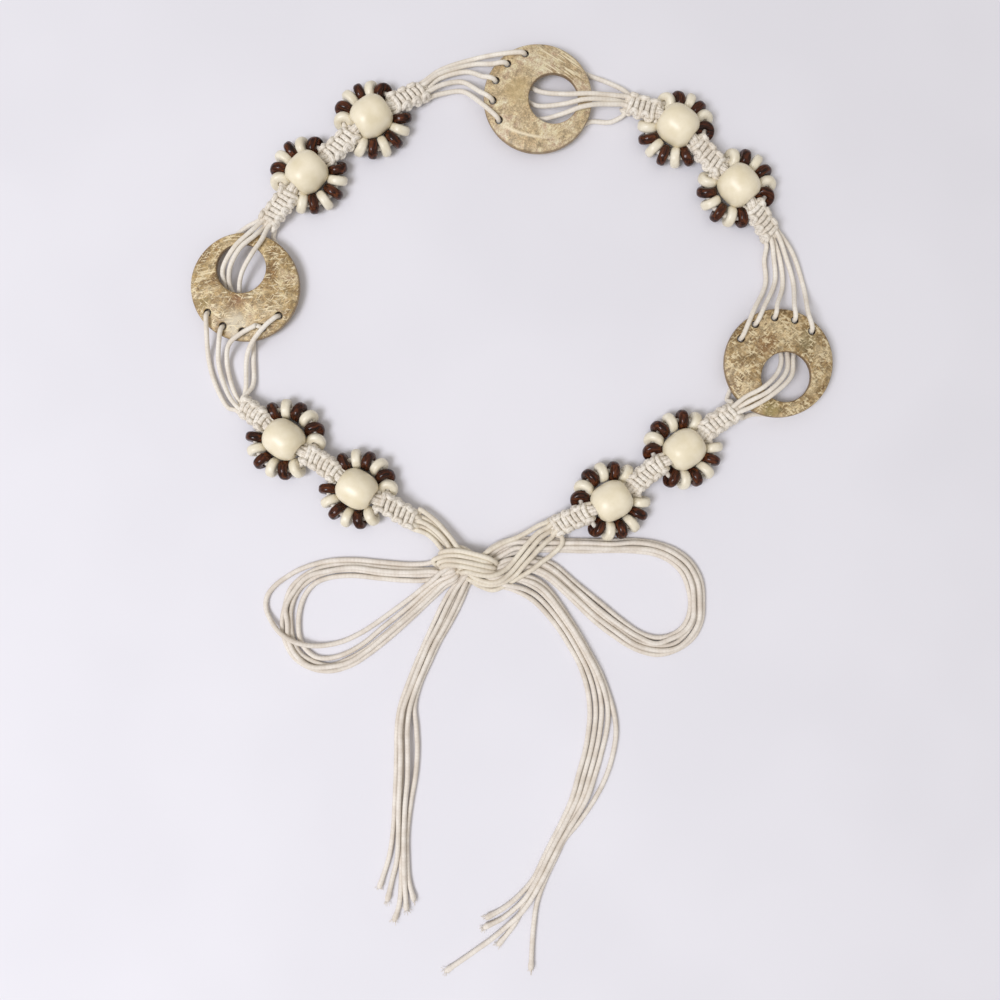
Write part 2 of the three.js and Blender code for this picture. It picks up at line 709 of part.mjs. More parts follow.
Object.entries(LEADS).forEach(([side, points]) => {
  const line = route(points);
  const end = side === 'left' ? BAR_ENDS.leadLeft : BAR_ENDS.leadRight;
  const way = barDirectionAt(end);
  line[0] = end.clone().addScaledVector(way, GAP);
  const lines = frames(line);
  squareOff(lines[0], way);
  const rings = line.map((point, i) => oval(
    point,
    lines[i].across,
    lines[i].up,
    LEAD.width,
    LEAD.thickness,
    LEAD.sides,
    LEAD.squareness,
  ));
  add(`tie_lead_${side}`, trimmed(loft(rings)), COLOURS.cotton);
});

const LOOP_STEPS = 20;
const TAIL_STEPS = 12;
Object.entries(TIE_LOOPS).forEach(([side, points]) => {
  add(`tie_loop_${side}`, trimmed(bundleAlong(route(points), LOOP_STEPS)), COLOURS.cotton);
});
Object.entries(TIE_TAILS).forEach(([side, points]) => {
  add(`tie_tail_${side}`, trimmed(bundleAlong(route(points), TAIL_STEPS)), COLOURS.cotton);
});

export default belt;
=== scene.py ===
"""Coconut shell belt, dressed for the render: shell rings, wood beads and knotted cotton cord.

Lengths are in millimetres until a mesh is made, +Z is up and the table is at z = 0.
"""

import logging
import math
from dataclasses import dataclass, field
from enum import Enum
from typing import Any, Callable, Iterable, Sequence

import bmesh
import bpy
import numpy as np
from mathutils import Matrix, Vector
from mathutils.geometry import delaunay_2d_cdt
from mathutils.kdtree import KDTree

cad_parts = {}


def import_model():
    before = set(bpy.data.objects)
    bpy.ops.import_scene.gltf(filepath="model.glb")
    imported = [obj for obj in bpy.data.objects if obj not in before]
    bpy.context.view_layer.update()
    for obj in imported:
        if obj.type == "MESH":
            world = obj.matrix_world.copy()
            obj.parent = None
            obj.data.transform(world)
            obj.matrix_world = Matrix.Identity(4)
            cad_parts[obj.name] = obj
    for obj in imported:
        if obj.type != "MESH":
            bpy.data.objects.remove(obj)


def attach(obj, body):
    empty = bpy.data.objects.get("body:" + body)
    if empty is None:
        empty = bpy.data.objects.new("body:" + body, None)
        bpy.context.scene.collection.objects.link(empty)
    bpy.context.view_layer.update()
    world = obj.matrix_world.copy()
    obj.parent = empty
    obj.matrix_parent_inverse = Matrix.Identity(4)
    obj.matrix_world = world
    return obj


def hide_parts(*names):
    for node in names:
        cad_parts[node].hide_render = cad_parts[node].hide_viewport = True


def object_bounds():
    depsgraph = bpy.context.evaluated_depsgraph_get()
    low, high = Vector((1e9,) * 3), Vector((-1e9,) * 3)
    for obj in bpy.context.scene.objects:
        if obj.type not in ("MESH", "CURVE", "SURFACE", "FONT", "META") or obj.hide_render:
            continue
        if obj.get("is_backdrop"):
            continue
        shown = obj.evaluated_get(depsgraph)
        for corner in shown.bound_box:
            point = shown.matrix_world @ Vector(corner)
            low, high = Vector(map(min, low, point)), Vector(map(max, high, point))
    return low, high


log = logging.getLogger("belt")

MM = 0.001
BODY = "root"
UP = np.array([0.0, 0.0, 1.0])

CORD_RADIUS = 1.15
PULLED_CORD_RADIUS = 1.08

# Where a route gives no height a cord's middle lies this high. A cord settles no nearer than the gap.
TABLE_CLEARANCE = 1.22
TABLE_GAP = 0.02

STRAND_STEP = 1.0
CURVE_SAMPLES = 16

BEAD_AXIS_HEIGHT = 9.0
BAR_END_HEIGHT = 4.3
RAISED_END_HEIGHT = 5.6
HIGH_END_HEIGHT = 7.4

# Where the camera stands over the belt, and how far the photo's frame lies off the shared one.
EYE = np.array([-6.0, -83.0])
EYE_HEIGHT = 430.0
PLAN_SHIFT = np.array([0.5, -1.6, 0.0])
SENSOR_WIDTH = 36.0
VIEW_WIDTH = 470.0

Points = Sequence[Sequence[float]]
Array = np.ndarray
Triple = tuple[float, float, float]
Placer = Callable[[float, float, float], Array]
Piece = bpy.types.Object
Material = bpy.types.Material
Tree = bpy.types.NodeTree
Socket = bpy.types.NodeSocket
Masks = list[tuple[Socket, str]]


def seen(points: Points, height: float = TABLE_CLEARANCE) -> Array:
    """Puts points as the eye above the table sees them where they really are.

    Args:
        points: plan points, each with its height or without one.
        height: the height of the points that have none.

    Returns:
        One row of x, y and z for each point.
    """
    rows = []
    for point in points:
        z = point[2] if len(point) > 2 else height
        plan = EYE + (np.array(point[:2], dtype=float) - EYE) * (1.0 - z / EYE_HEIGHT)
        rows.append([plan[0], plan[1], z])
    return np.array(rows) + PLAN_SHIFT


def unit(vector: Array) -> Array:
    """Returns the vector at length one."""
    return vector / max(float(np.linalg.norm(vector)), 1e-9)


def smooth_route(points: Array, step: float = STRAND_STEP) -> Array:
    """Runs a smooth curve through points and cuts it into equal steps.

    Args:
        points: the points that the curve goes through.
        step: about how long each step is.

    Returns:
        The points along the curve.
    """
    points = np.asarray(points, dtype=float)
    padded = np.vstack([2 * points[0] - points[1], points, 2 * points[-1] - points[-2]])
    curve = []
    for i in range(len(points) - 1):
        p0, p1, p2, p3 = padded[i:i + 4]
        t1 = np.linalg.norm(p1 - p0) ** 0.5 + 1e-6
        t2 = t1 + np.linalg.norm(p2 - p1) ** 0.5 + 1e-6
        t3 = t2 + np.linalg.norm(p3 - p2) ** 0.5 + 1e-6
        t = np.linspace(t1, t2, CURVE_SAMPLES + 1)[:-1, None]
        a1 = (t1 - t) / t1 * p0 + t / t1 * p1
        a2 = (t2 - t) / (t2 - t1) * p1 + (t - t1) / (t2 - t1) * p2
        a3 = (t3 - t) / (t3 - t2) * p2 + (t - t2) / (t3 - t2) * p3
        b1 = (t2 - t) / t2 * a1 + t / t2 * a2
        b2 = (t3 - t) / (t3 - t1) * a2 + (t - t1) / (t3 - t1) * a3
        curve.append((t2 - t) / (t2 - t1) * b1 + (t - t1) / (t2 - t1) * b2)
    return even_steps(np.vstack(curve + [points[-1:]]), step)


def marks_along(path: Array) -> Array:
    """Returns how far along a path each of its points is."""
    return np.concatenate([[0.0], np.cumsum(np.linalg.norm(np.diff(path, axis=0), axis=1))])


def even_steps(curve: Array, step: float) -> Array:
    """Cuts a curve into equal steps.

    Args:
        curve: its points.
        step: about how long each step is.

    Returns:
        The same curve with its points at equal steps.
    """
    along = marks_along(curve)
    count = max(int(round(along[-1] / step)), 2)
    marks = np.linspace(0.0, along[-1], count + 1)
    return np.column_stack([np.interp(marks, along, curve[:, axis]) for axis in range(3)])


def level_way(start: Array, end: Array) -> Array:
    """Returns the level way from one point to another."""
    return unit((end - start) * [1.0, 1.0, 0.0])


# The places of the belt's parts, in the order of the belt from the left end of the tie.

BEADS = seen([
    (-73.3, -77.8), (-107.6, -54.5), (-96.8, 71.0), (-66.5, 97.3),
    (77.6, 93.1), (106.2, 64.9), (80.6, -59.2), (46.5, -83.4),
], BEAD_AXIS_HEIGHT)

BAR_ENDS = dict(zip(
    ("lead_left", "left_below", "left_above", "top_before",
     "top_after", "right_above", "right_below", "lead_right"),
    seen([
        (-46.1, -92.6, BAR_END_HEIGHT), (-126.9, -38.5, BAR_END_HEIGHT),
        (-115.2, 47.5, RAISED_END_HEIGHT), (-41.8, 109.5, BAR_END_HEIGHT),
        (54.5, 103.4, BAR_END_HEIGHT), (121.7, 41.4, BAR_END_HEIGHT),
        (104.2, -41.0, HIGH_END_HEIGHT), (19.2, -96.0, BAR_END_HEIGHT),
    ]),
))

# Each run of the belt goes from one free bar end to the next, with two beads between them.
RUNS = (
    ("lead_left", (1, 2), "left_below"),
    ("left_above", (3, 4), "top_before"),
    ("top_after", (5, 6), "right_above"),
    ("right_below", (7, 8), "lead_right"),
)

# The five cords pass a bar's end side by side, those next to the middle one higher.
SLOT_WIDTH = 1.95
SLOT_RISE = 1.1
TUCKED = 2.4


def way_out(end: str) -> Array:
    """Works out how the cords leave a bar.

    Args:
        end: the name of the bar's free end.

    Returns:
        The level way out of it.
    """
    first, beads, _ = next(run for run in RUNS if end in (run[0], run[2]))
    bead = BEADS[beads[0] - 1] if end == first else BEADS[beads[1] - 1]
    return level_way(bead, BAR_ENDS[end])


def way_along(bead: int) -> Array:
    """Works out how the belt runs through a large bead.

    Args:
        bead: its number, from 1.

    Returns:
        The level way along the belt.
    """
    first, beads, last = next(run for run in RUNS if bead in run[1])
    stops = [BAR_ENDS[first], BEADS[beads[0] - 1], BEADS[beads[1] - 1], BAR_ENDS[last]]
    place = 1 + beads.index(bead)
    ahead = level_way(stops[place], stops[place + 1])
    behind = level_way(stops[place], stops[place - 1])
    return unit(ahead - behind)


def cord_slot(end: str, slot: int, distance: float) -> Array:
    """Returns where one of the five cords passes near a bar's end.

    Args:
        end: the bar end's name.
        slot: from -2 to 2 across the bar.
        distance: how far outside the bar.

    Returns:
        The point.
    """
    way = way_out(end)
    across = np.array([-way[1], way[0], 0.0])
    rise = SLOT_RISE if abs(slot) == 1 else -SLOT_RISE
    spread = slot * SLOT_WIDTH
    return BAR_ENDS[end] + way * distance + across * spread + np.array([0.0, 0.0, rise])


class Cover(Enum):
    """The name of a piece's finish."""

    SHELL = "coconut_shell"
    CREAM = "cream_bead"
    DARK = "dark_bead"
    COTTON = "cotton_cord"


# Finishes.

def linear(code: str) -> tuple[float, float, float, float]:
    """Turns an sRGB hex value into a linear colour.

    Args:
        code: the colour as #rrggbb.

    Returns:
        Red, green, blue and alpha for a socket.
    """
    channels = []
    for place in (1, 3, 5):
        value = int(code[place:place + 2], 16) / 255.0
        channels.append(value / 12.92 if value <= 0.04045 else ((value + 0.055) / 1.055) ** 2.4)
    return (channels[0], channels[1], channels[2], 1.0)


def feed(node: bpy.types.Node, inputs: dict[Any, Any]) -> None:
    """Feeds a node.

    Args:
        node: the node.
        inputs: what its sockets get, by name or number: another node's socket, or a value.
    """
    for key, given in inputs.items():
        if isinstance(given, Socket):
            node.id_data.links.new(given, node.inputs[key])
        else:
            node.inputs[key].default_value = given


def add_node(tree: Tree, kind: str, inputs: dict[Any, Any] | None = None,
             stops: Sequence[tuple[float, str]] = (), **settings: Any) -> bpy.types.Node:
    """Adds a node with its settings and links.

    Args:
        tree: the node tree to add it to.
        kind: the node's type.
        inputs: what its sockets get.
        stops: places and hex colours of a colour ramp.
        **settings: the node's own properties.

    Returns:
        The new node.
    """
    node = tree.nodes.new(kind)
    for name, value in settings.items():
        setattr(node, name, value)
    feed(node, inputs or {})
    for i, (place, code) in enumerate(stops):
        spare = node.color_ramp.elements
        stop = spare[i] if i < 2 else spare.new(place)
        stop.position = place
        stop.color = linear(code)
    return node


def new_finish(name: str) -> tuple[Material, Tree, bpy.types.Node]:
    """Starts a material.

    Args:
        name: what the real material is.

    Returns:
        The material, its node tree and its shader.
    """
    material = bpy.data.materials.new(name)
    material.use_nodes = True
    tree = material.node_tree
    shader = tree.nodes["Principled BSDF"]
    return material, tree, shader


# Both inputs of a colour mix and its result share their names with other sockets.
MIX_FACTOR = 0
MIX_A = 6
MIX_B = 7
MIX_RESULT = 2


@dataclass(frozen=True)
class WaxedCottonCord:
    """Braided cotton cord, drawn through wax: off-white, nearly matt, with a faint braid and painted shade
    in its grooves.
    """

    name: str = "waxed braided cotton"
    light: str = "#e9e2d7"
    shade: str = "#d9cfc1"
    # Painted shade: the braid's grooves are mixed toward this darker colour, at most by this share.
    groove_shade: str = "#ab9b88"
    groove_shade_strength: float = 0.16
    relief_mm: float = 0.12
    plait_pitch_mm: float = 3.4
    plaits_round: int = 3
    fibre_mm: float = 0.625
    tone_mm: float = 7.0
    roughness: float = 0.62

    def build(self) -> Material:
        """Builds the material. The real braid is about 0.5 mm and is drawn at 1.7 mm.

        Returns:
            The material.
        """
        material, tree, shader = new_finish(self.name)
        braid = add_node(tree, "ShaderNodeAttribute", attribute_name="braid")
        split = add_node(tree, "ShaderNodeSeparateXYZ", {0: braid.outputs["Vector"]})
        angle = add_node(tree, "ShaderNodeMath", {
            0: split.outputs["Y"], 1: split.outputs["X"]}, operation="ARCTAN2")
        waves = []
        for hand in (1.0, -1.0):
            along = add_node(tree, "ShaderNodeMath", {
                0: split.outputs["Z"], 1: hand * math.tau / self.plait_pitch_mm}, operation="MULTIPLY")
            phase = add_node(tree, "ShaderNodeMath", {
                0: angle.outputs[0], 1: float(self.plaits_round),
                2: along.outputs[0]}, operation="MULTIPLY_ADD")
            waves.append(add_node(tree, "ShaderNodeMath", {0: phase.outputs[0]}, operation="SINE"))
        plait = add_node(tree, "ShaderNodeMath", {
            0: waves[0].outputs[0], 1: waves[1].outputs[0]}, operation="MULTIPLY")
        height = add_node(tree, "ShaderNodeMath", {
            0: plait.outputs[0], 1: 0.5, 2: 0.5}, operation="MULTIPLY_ADD")
        place = add_node(tree, "ShaderNodeTexCoord")
        tone = add_node(tree, "ShaderNodeTexNoise", {
            "Vector": place.outputs["Object"], "Scale": 1000.0 / self.tone_mm, "Detail": 3.0,
            "Roughness": 0.6})
        base = add_node(tree, "ShaderNodeValToRGB", {
            0: tone.outputs[0]}, stops=((0.36, self.shade), (0.62, self.light)))
        fibre = add_node(tree, "ShaderNodeTexNoise", {
            "Vector": place.outputs["Object"], "Scale": 1000.0 / self.fibre_mm, "Detail": 4.0,
            "Roughness": 0.7})
        # Painted shade: where the braid lies low, its grooves darken toward the groove colour.
        grooves = add_node(tree, "ShaderNodeMapRange", {
            "Value": height.outputs[0], "From Min": 0.05, "From Max": 0.55, "To Min": self.groove_shade_strength,
            "To Max": 0.0})
        colour = add_node(tree, "ShaderNodeMix", {
            MIX_FACTOR: grooves.outputs["Result"], MIX_A: base.outputs["Color"],
            MIX_B: linear(self.groove_shade)}, data_type="RGBA")
        relief = add_node(tree, "ShaderNodeMath", {
            0: fibre.outputs[0], 1: 0.45, 2: height.outputs[0]}, operation="MULTIPLY_ADD")
        bump = add_node(tree, "ShaderNodeBump", {
            "Height": relief.outputs[0], "Strength": 0.4, "Distance": self.relief_mm * MM})
        rough = add_node(tree, "ShaderNodeMapRange", {
            "Value": fibre.outputs[0], "To Min": self.roughness - 0.1, "To Max": self.roughness + 0.14})
        feed(shader, {
            "Base Color": colour.outputs[MIX_RESULT], "Normal": bump.outputs["Normal"],
            "Roughness": rough.outputs["Result"], "Sheen Weight": 0.12, "Specular IOR Level": 0.35})
        return material


@dataclass(frozen=True)
class PaintedWood:
    """Turned wood bead, dipped in ivory paint: even and satin, the grain just showing."""

    name: str
    light: str = "#f0e6cc"
    shade: str = "#e4d8b8"
    grain_mm: float = 1.6
    tone_mm: float = 7.0
    roughness: float = 0.36
    relief_mm: float = 0.05

    def build(self) -> Material:
        """Builds the material.

        Returns:
            The material.
        """
        material, tree, shader = new_finish(self.name)
        place = add_node(tree, "ShaderNodeTexCoord")
        tone = add_node(tree, "ShaderNodeTexNoise", {
            "Vector": place.outputs["Object"], "Scale": 1000.0 / self.tone_mm, "Detail": 4.0,
            "Roughness": 0.55})
        base = add_node(tree, "ShaderNodeValToRGB", {
            0: tone.outputs[0]}, stops=((0.32, self.shade), (0.66, self.light)))
        stretch = add_node(tree, "ShaderNodeMapping", {
            "Vector": place.outputs["Object"],
            "Scale": (250.0 / self.grain_mm, *[1000.0 / self.grain_mm] * 2)})
        grain = add_node(tree, "ShaderNodeTexNoise", {
            "Vector": stretch.outputs["Vector"], "Scale": 1.0, "Detail": 5.0, "Roughness": 0.65})
        bump = add_node(tree, "ShaderNodeBump", {
            "Height": grain.outputs[0], "Strength": 0.4, "Distance": self.relief_mm * MM})
        rough = add_node(tree, "ShaderNodeMapRange", {
            "Value": grain.outputs[0], "To Min": self.roughness - 0.07, "To Max": self.roughness + 0.1})
        feed(shader, {
            "Base Color": base.outputs["Color"], "Normal": bump.outputs["Normal"],
            "Roughness": rough.outputs["Result"], "Coat Weight": 0.15, "Coat Roughness": 0.3})
        return material


@dataclass(frozen=True)
class StainedWood:
    """Turned wood bead, stained and lacquered: reddish dark brown with lighter grain, glossy."""

    name: str = "lacquered dark wood"
    dark: str = "#190a05"
    mid: str = "#45200f"
    streak: str = "#74401f"
    grain_mm: float = 1.2
    grain_stretch: float = 0.16
    relief_mm: float = 0.05
    roughness: float = 0.24

    def build(self) -> Material:
        """Builds the material. The grain runs across each bead, in its own "grain" measures.

        Returns:
            The material.
        """
        material, tree, shader = new_finish(self.name)
        place = add_node(tree, "ShaderNodeAttribute", attribute_name="grain")
        stretch = add_node(tree, "ShaderNodeMapping", {
            "Vector": place.outputs["Vector"],
            "Scale": (1.0 / self.grain_mm, self.grain_stretch / self.grain_mm, 1.0 / self.grain_mm)})
        grain = add_node(tree, "ShaderNodeTexNoise", {
            "Vector": stretch.outputs["Vector"], "Scale": 1.0, "Detail": 5.0, "Roughness": 0.6,
            "Distortion": 0.4})
        base = add_node(tree, "ShaderNodeValToRGB", {
            0: grain.outputs[0]}, stops=((0.38, self.dark), (0.54, self.mid), (0.74, self.streak)))
        bump = add_node(tree, "ShaderNodeBump", {
            "Height": grain.outputs[0], "Strength": 0.35, "Distance": self.relief_mm * MM})
        rough = add_node(tree, "ShaderNodeMapRange", {
            "Value": grain.outputs[0], "To Min": self.roughness - 0.06, "To Max": self.roughness + 0.12})
        feed(shader, {
            "Base Color": base.outputs["Color"], "Normal": bump.outputs["Normal"],
            "Roughness": rough.outputs["Result"], "Specular IOR Level": 0.1, "Coat Weight": 0.36,
            "Coat Roughness": 0.06})
        return material


@dataclass(frozen=True)
class ShellPatch:
    """A stain on a shell: where it is from the ring's middle, how far it reaches and its colour."""

    x: float
    y: float
    reach: float
    colour: str
    strength: float


@dataclass(frozen=True)
class Dashes:
    """Short fibres or grooves in the shell: their way, size, density and colour.

    A dash shows where its noise passes the threshold. With a zone they show only near that point.
    """

    angle: float
    long: float
    wide: float
    threshold: float
    colour: str
    strength: float
    zone: Triple | None = None


@dataclass(frozen=True)
class ShellVein:
    """A pale hair line across a shell, part of a wide circle."""

    x: float
    y: float
    radius: float
    half_width: float
    colour: str
    zone: Triple


@dataclass(frozen=True)
class PolishedCoconutShell:
    """Ground and polished coconut shell: tan, with pale fibre flecks, grooves, darker cut edges and painted
    shade round the small holes.
    """

    name: str
    centre: tuple[float, float]
    dark: str
    mid: str
    pale: str
    dashes: tuple[Dashes, ...]
    patches: tuple[ShellPatch, ...] = ()
    veins: tuple[ShellVein, ...] = ()
    edge: str = "#7d6344"
    # Painted shade: near-black on the face round each small hole, where shade falls into it.
    hole_shade: str = "#2e1c10"
    speck_mm: float = 0.75
    mottle_mm: float = 2.6
    cluster_mm: float = 4.2
    tone_mm: float = 10.0
    level_mm: float = 6.0
    relief_mm: float = 0.14
    roughness: float = 0.42

    def near(self, tree: Tree, flat: Socket, wobble: Socket, zone: Triple, strength: float = 1.0) -> Socket:
        """Adds a mask that is strong near a point of the shell, with a ragged border.

        Args:
            tree: the material's nodes.
            flat: places from the ring's middle in millimetres.
            wobble: the noise that makes the border ragged.
            zone: x, y and reach.
            strength: the mask's highest value.

        Returns:
            The mask.
        """
        x, y, reach = zone
        away = add_node(tree, "ShaderNodeVectorMath", {
            0: flat, 1: (x, y, self.level_mm)}, operation="DISTANCE")
        ragged = add_node(tree, "ShaderNodeMath", {
            0: wobble, 1: 1.2 * reach, 2: away.outputs["Value"]}, operation="MULTIPLY_ADD")
        mask = add_node(tree, "ShaderNodeMapRange", {
            "Value": ragged.outputs[0], "From Min": reach, "From Max": 1.9 * reach,
            "To Min": strength, "To Max": 0.0}, interpolation_type="SMOOTHSTEP")
        return mask.outputs["Result"]

    def masks(self, tree: Tree, spot: Socket, noises: dict[str, Socket]) -> tuple[Masks, ...]:
        """Adds the masks of what lies on the tan of the shell.

        Args:
            tree: the material's nodes.
            spot: places from the ring's middle in millimetres.
            noises: the noises by name.

        Returns:
            The masks with their colours: the stains, then the fibres and grooves, then the hair lines,
            the darker cut edges and the painted shade round the small holes.
        """
        stains = [(self.near(tree, spot, noises["tone"], (patch.x, patch.y, patch.reach), patch.strength),
                   patch.colour) for patch in self.patches]
        bare = add_node(tree, "ShaderNodeMapRange", {
            "Value": noises["cluster"], "From Min": 0.38, "From Max": 0.56, "To Min": 0.1, "To Max": 1.0})
        dashes = []
        for dash in self.dashes:
            turned = add_node(tree, "ShaderNodeVectorRotate", {
                "Vector": spot, "Angle": -math.radians(dash.angle)}, rotation_type="Z_AXIS")
            stretch = add_node(tree, "ShaderNodeMapping", {
                "Vector": turned.outputs["Vector"],
                "Scale": (1.0 / dash.long, 1.0 / dash.wide, 1.0 / dash.wide),
                "Location": (dash.angle * 0.37, dash.long, dash.wide)})
            pattern = add_node(tree, "ShaderNodeTexNoise", {
                "Vector": stretch.outputs["Vector"], "Scale": 1.0, "Detail": 1.5, "Roughness": 0.5,
                "Distortion": 0.2})
            shown = add_node(tree, "ShaderNodeMapRange", {
                "Value": pattern.outputs[0], "From Min": dash.threshold, "From Max": dash.threshold + 0.05,
                "To Min": 0.0, "To Max": dash.strength})
            inside = bare.outputs["Result"]
            if dash.zone:
                inside = self.near(tree, spot, noises["tone"], dash.zone)
            mask = add_node(tree, "ShaderNodeMath", {
                0: shown.outputs["Result"], 1: inside}, operation="MULTIPLY")
            dashes.append((mask.outputs[0], dash.colour))
        lines = []
        for vein in self.veins:
            away = add_node(tree, "ShaderNodeVectorMath", {
                0: spot, 1: (vein.x, vein.y, self.level_mm)}, operation="DISTANCE")
            off = add_node(tree, "ShaderNodeMath", {
                0: away.outputs["Value"], 1: vein.radius}, operation="SUBTRACT")
            side = add_node(tree, "ShaderNodeMath", {0: off.outputs[0]}, operation="ABSOLUTE")
            line = add_node(tree, "ShaderNodeMapRange", {
                "Value": side.outputs[0], "From Min": 0.0, "From Max": vein.half_width, "To Min": 0.85,
                "To Max": 0.0})
            inside = self.near(tree, spot, noises["mottle"], vein.zone)
            mask = add_node(tree, "ShaderNodeMath", {
                0: line.outputs["Result"], 1: inside}, operation="MULTIPLY")
            lines.append((mask.outputs[0], vein.colour))
        border = add_node(tree, "ShaderNodeAttribute", attribute_name="edge")
        borders = add_node(tree, "ShaderNodeSeparateXYZ", {0: border.outputs["Vector"]})
        # The face darkens near the rim and the eye; round the small holes the near-black is painted shade.
        for channel, code, reach, strength in (("X", self.edge, 0.45, 0.7), ("Y", self.edge, 0.4, 0.85),
                                               ("Z", self.hole_shade, 0.45, 1.0)):
            cut = add_node(tree, "ShaderNodeMapRange", {
                "Value": borders.outputs[channel], "From Min": 0.04, "From Max": reach, "To Min": strength,
                "To Max": 0.0}, interpolation_type="SMOOTHSTEP")
            lines.append((cut.outputs["Result"], code))
        return stains, dashes, lines

    def build(self) -> Material:
        """Builds the material in millimetres from the ring's middle.

        Returns:
            The material.
        """
        material, tree, shader = new_finish(self.name)
        place = add_node(tree, "ShaderNodeTexCoord")
        flat = add_node(tree, "ShaderNodeMapping", {
            "Vector": place.outputs["Object"], "Scale": (1000.0, 1000.0, 1000.0),
            "Location": (-self.centre[0], -self.centre[1], 0.0)})
        spot = flat.outputs["Vector"]
        noises = {}
        for kind, size, detail, rough in (("tone", self.tone_mm, 3.0, 0.5),
                                          ("cluster", self.cluster_mm, 2.0, 0.5),
                                          ("mottle", self.mottle_mm, 4.0, 0.6),
                                          ("speck", self.speck_mm, 4.0, 0.7)):
            noises[kind] = add_node(tree, "ShaderNodeTexNoise", {
                "Vector": spot, "Scale": 1.0 / size, "Detail": detail, "Roughness": rough,
                "Distortion": 0.5}).outputs[0]
        base = add_node(tree, "ShaderNodeValToRGB", {
            0: noises["tone"]}, stops=((0.36, self.dark), (0.5, self.mid), (0.64, self.pale)))
        colour = base.outputs["Color"]
        for kind, factor in (("mottle", 0.6), ("speck", 0.72)):
            sharp = add_node(tree, "ShaderNodeMapRange", {
                "Value": noises[kind], "From Min": 0.34, "From Max": 0.66, "To Min": 0.22, "To Max": 0.8})
            mixed = add_node(tree, "ShaderNodeMix", {
                MIX_FACTOR: factor, MIX_A: colour,
                MIX_B: sharp.outputs["Result"]}, data_type="RGBA", blend_type="OVERLAY")
            colour = mixed.outputs[MIX_RESULT]
        stains, dashes, lines = self.masks(tree, spot, noises)
        for mask, code in stains + dashes + lines:
            mixed = add_node(tree, "ShaderNodeMix", {
                MIX_FACTOR: mask, MIX_A: colour, MIX_B: linear(code)}, data_type="RGBA")
            colour = mixed.outputs[MIX_RESULT]
        relief = noises["speck"]
        for mask, _ in dashes:
            relief = add_node(tree, "ShaderNodeMath", {
                0: mask, 1: 0.5, 2: relief}, operation="MULTIPLY_ADD").outputs[0]
        bump = add_node(tree, "ShaderNodeBump", {
            "Height": relief, "Strength": 0.5, "Distance": self.relief_mm * MM})
        rough = add_node(tree, "ShaderNodeMapRange", {
            "Value": noises["speck"], "To Min": self.roughness - 0.1, "To Max": self.roughness + 0.16})
        feed(shader, {
            "Base Color": colour, "Normal": bump.outputs["Normal"], "Roughness": rough.outputs["Result"]})
        return material


@dataclass(frozen=True)
class PaleTable:
    """Matt laminate table: pale grey with a trace of lilac."""

    name: str = "matt pale laminate"
    colour: str = "#e5e4e9"
    cloud: str = "#e2e1e6"
    cloud_mm: float = 111.1
    roughness: float = 0.8

    def build(self) -> Material:
        """Builds the material.

        Returns:
            The material.
        """
        material, tree, shader = new_finish(self.name)
        place = add_node(tree, "ShaderNodeTexCoord")
        cloud = add_node(tree, "ShaderNodeTexNoise", {
            "Vector": place.outputs["Object"], "Scale": 1000.0 / self.cloud_mm, "Detail": 2.0})
        base = add_node(tree, "ShaderNodeValToRGB", {
            0: cloud.outputs[0]}, stops=((0.4, self.cloud), (0.6, self.colour)))
        feed(shader, {
            "Base Color": base.outputs["Color"], "Roughness": self.roughness, "Specular IOR Level": 0.2})
        return material


# Meshes.

def add_object(name: str, data: bpy.types.ID) -> Piece:
    """Adds an object to the scene."""
    piece = bpy.data.objects.new(name, data)
    bpy.context.scene.collection.objects.link(piece)
    return piece


@dataclass
class MeshParts:
    """Points, faces and per-point values of one piece, gathered part by part."""

    points: list[Array] = field(default_factory=list)
    faces: list[list[int]] = field(default_factory=list)
    values: list[Array] = field(default_factory=list)
    count: int = 0

    def add(self, points: Array, faces: Iterable[Sequence[int]], values: Array) -> None:
        """Adds one part.

        Args:
            points: its points in millimetres.
            faces: its faces by point number.
            values: three numbers for each point, for the material.
        """
        for face in faces:
            self.faces.append([corner + self.count for corner in face])
        self.points.append(points)
        self.values.append(values)
        self.count += len(points)

    def build(self, name: str, finish: Material, value_name: str) -> Piece:
        """Makes the object.

        Args:
            name: the piece's name.
            finish: its material.
            value_name: what the values are called in the material.

        Returns:
            The object, riding on the belt's one body.
        """
        points = np.vstack(self.points) * MM
        mesh = bpy.data.meshes.new(name)
        mesh.from_pydata(points.tolist(), [], self.faces)
        layer = mesh.attributes.new(value_name, "FLOAT_VECTOR", "POINT")
        layer.data.foreach_set("vector", np.vstack(self.values).astype(np.float32).ravel())
        mesh.materials.append(finish)
        mesh.polygons.foreach_set("use_smooth", [True] * len(self.faces))
        mesh.update()
        piece = add_object(name, mesh)
        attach(piece, BODY)
        return piece


def put_on(piece: Piece, cover: Cover, *nodes: str) -> Piece:
    """Hides the model's parts that a piece stands for.

    Args:
        piece: the piece.
        cover: its finish; not used.
        *nodes: the nodes it stands for, if any.

    Returns:
        The piece.
    """
    if nodes:
        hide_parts(*nodes)
    return piece


TUBE_SIDES = 12
SIDE_HINT = (0.3, 0.2, 1.0)

# The rounding of a cord's end: how far past it and how wide, as shares of the radius.
END_ROUNDING = ((0.85, 0.45), (0.5, 0.82))


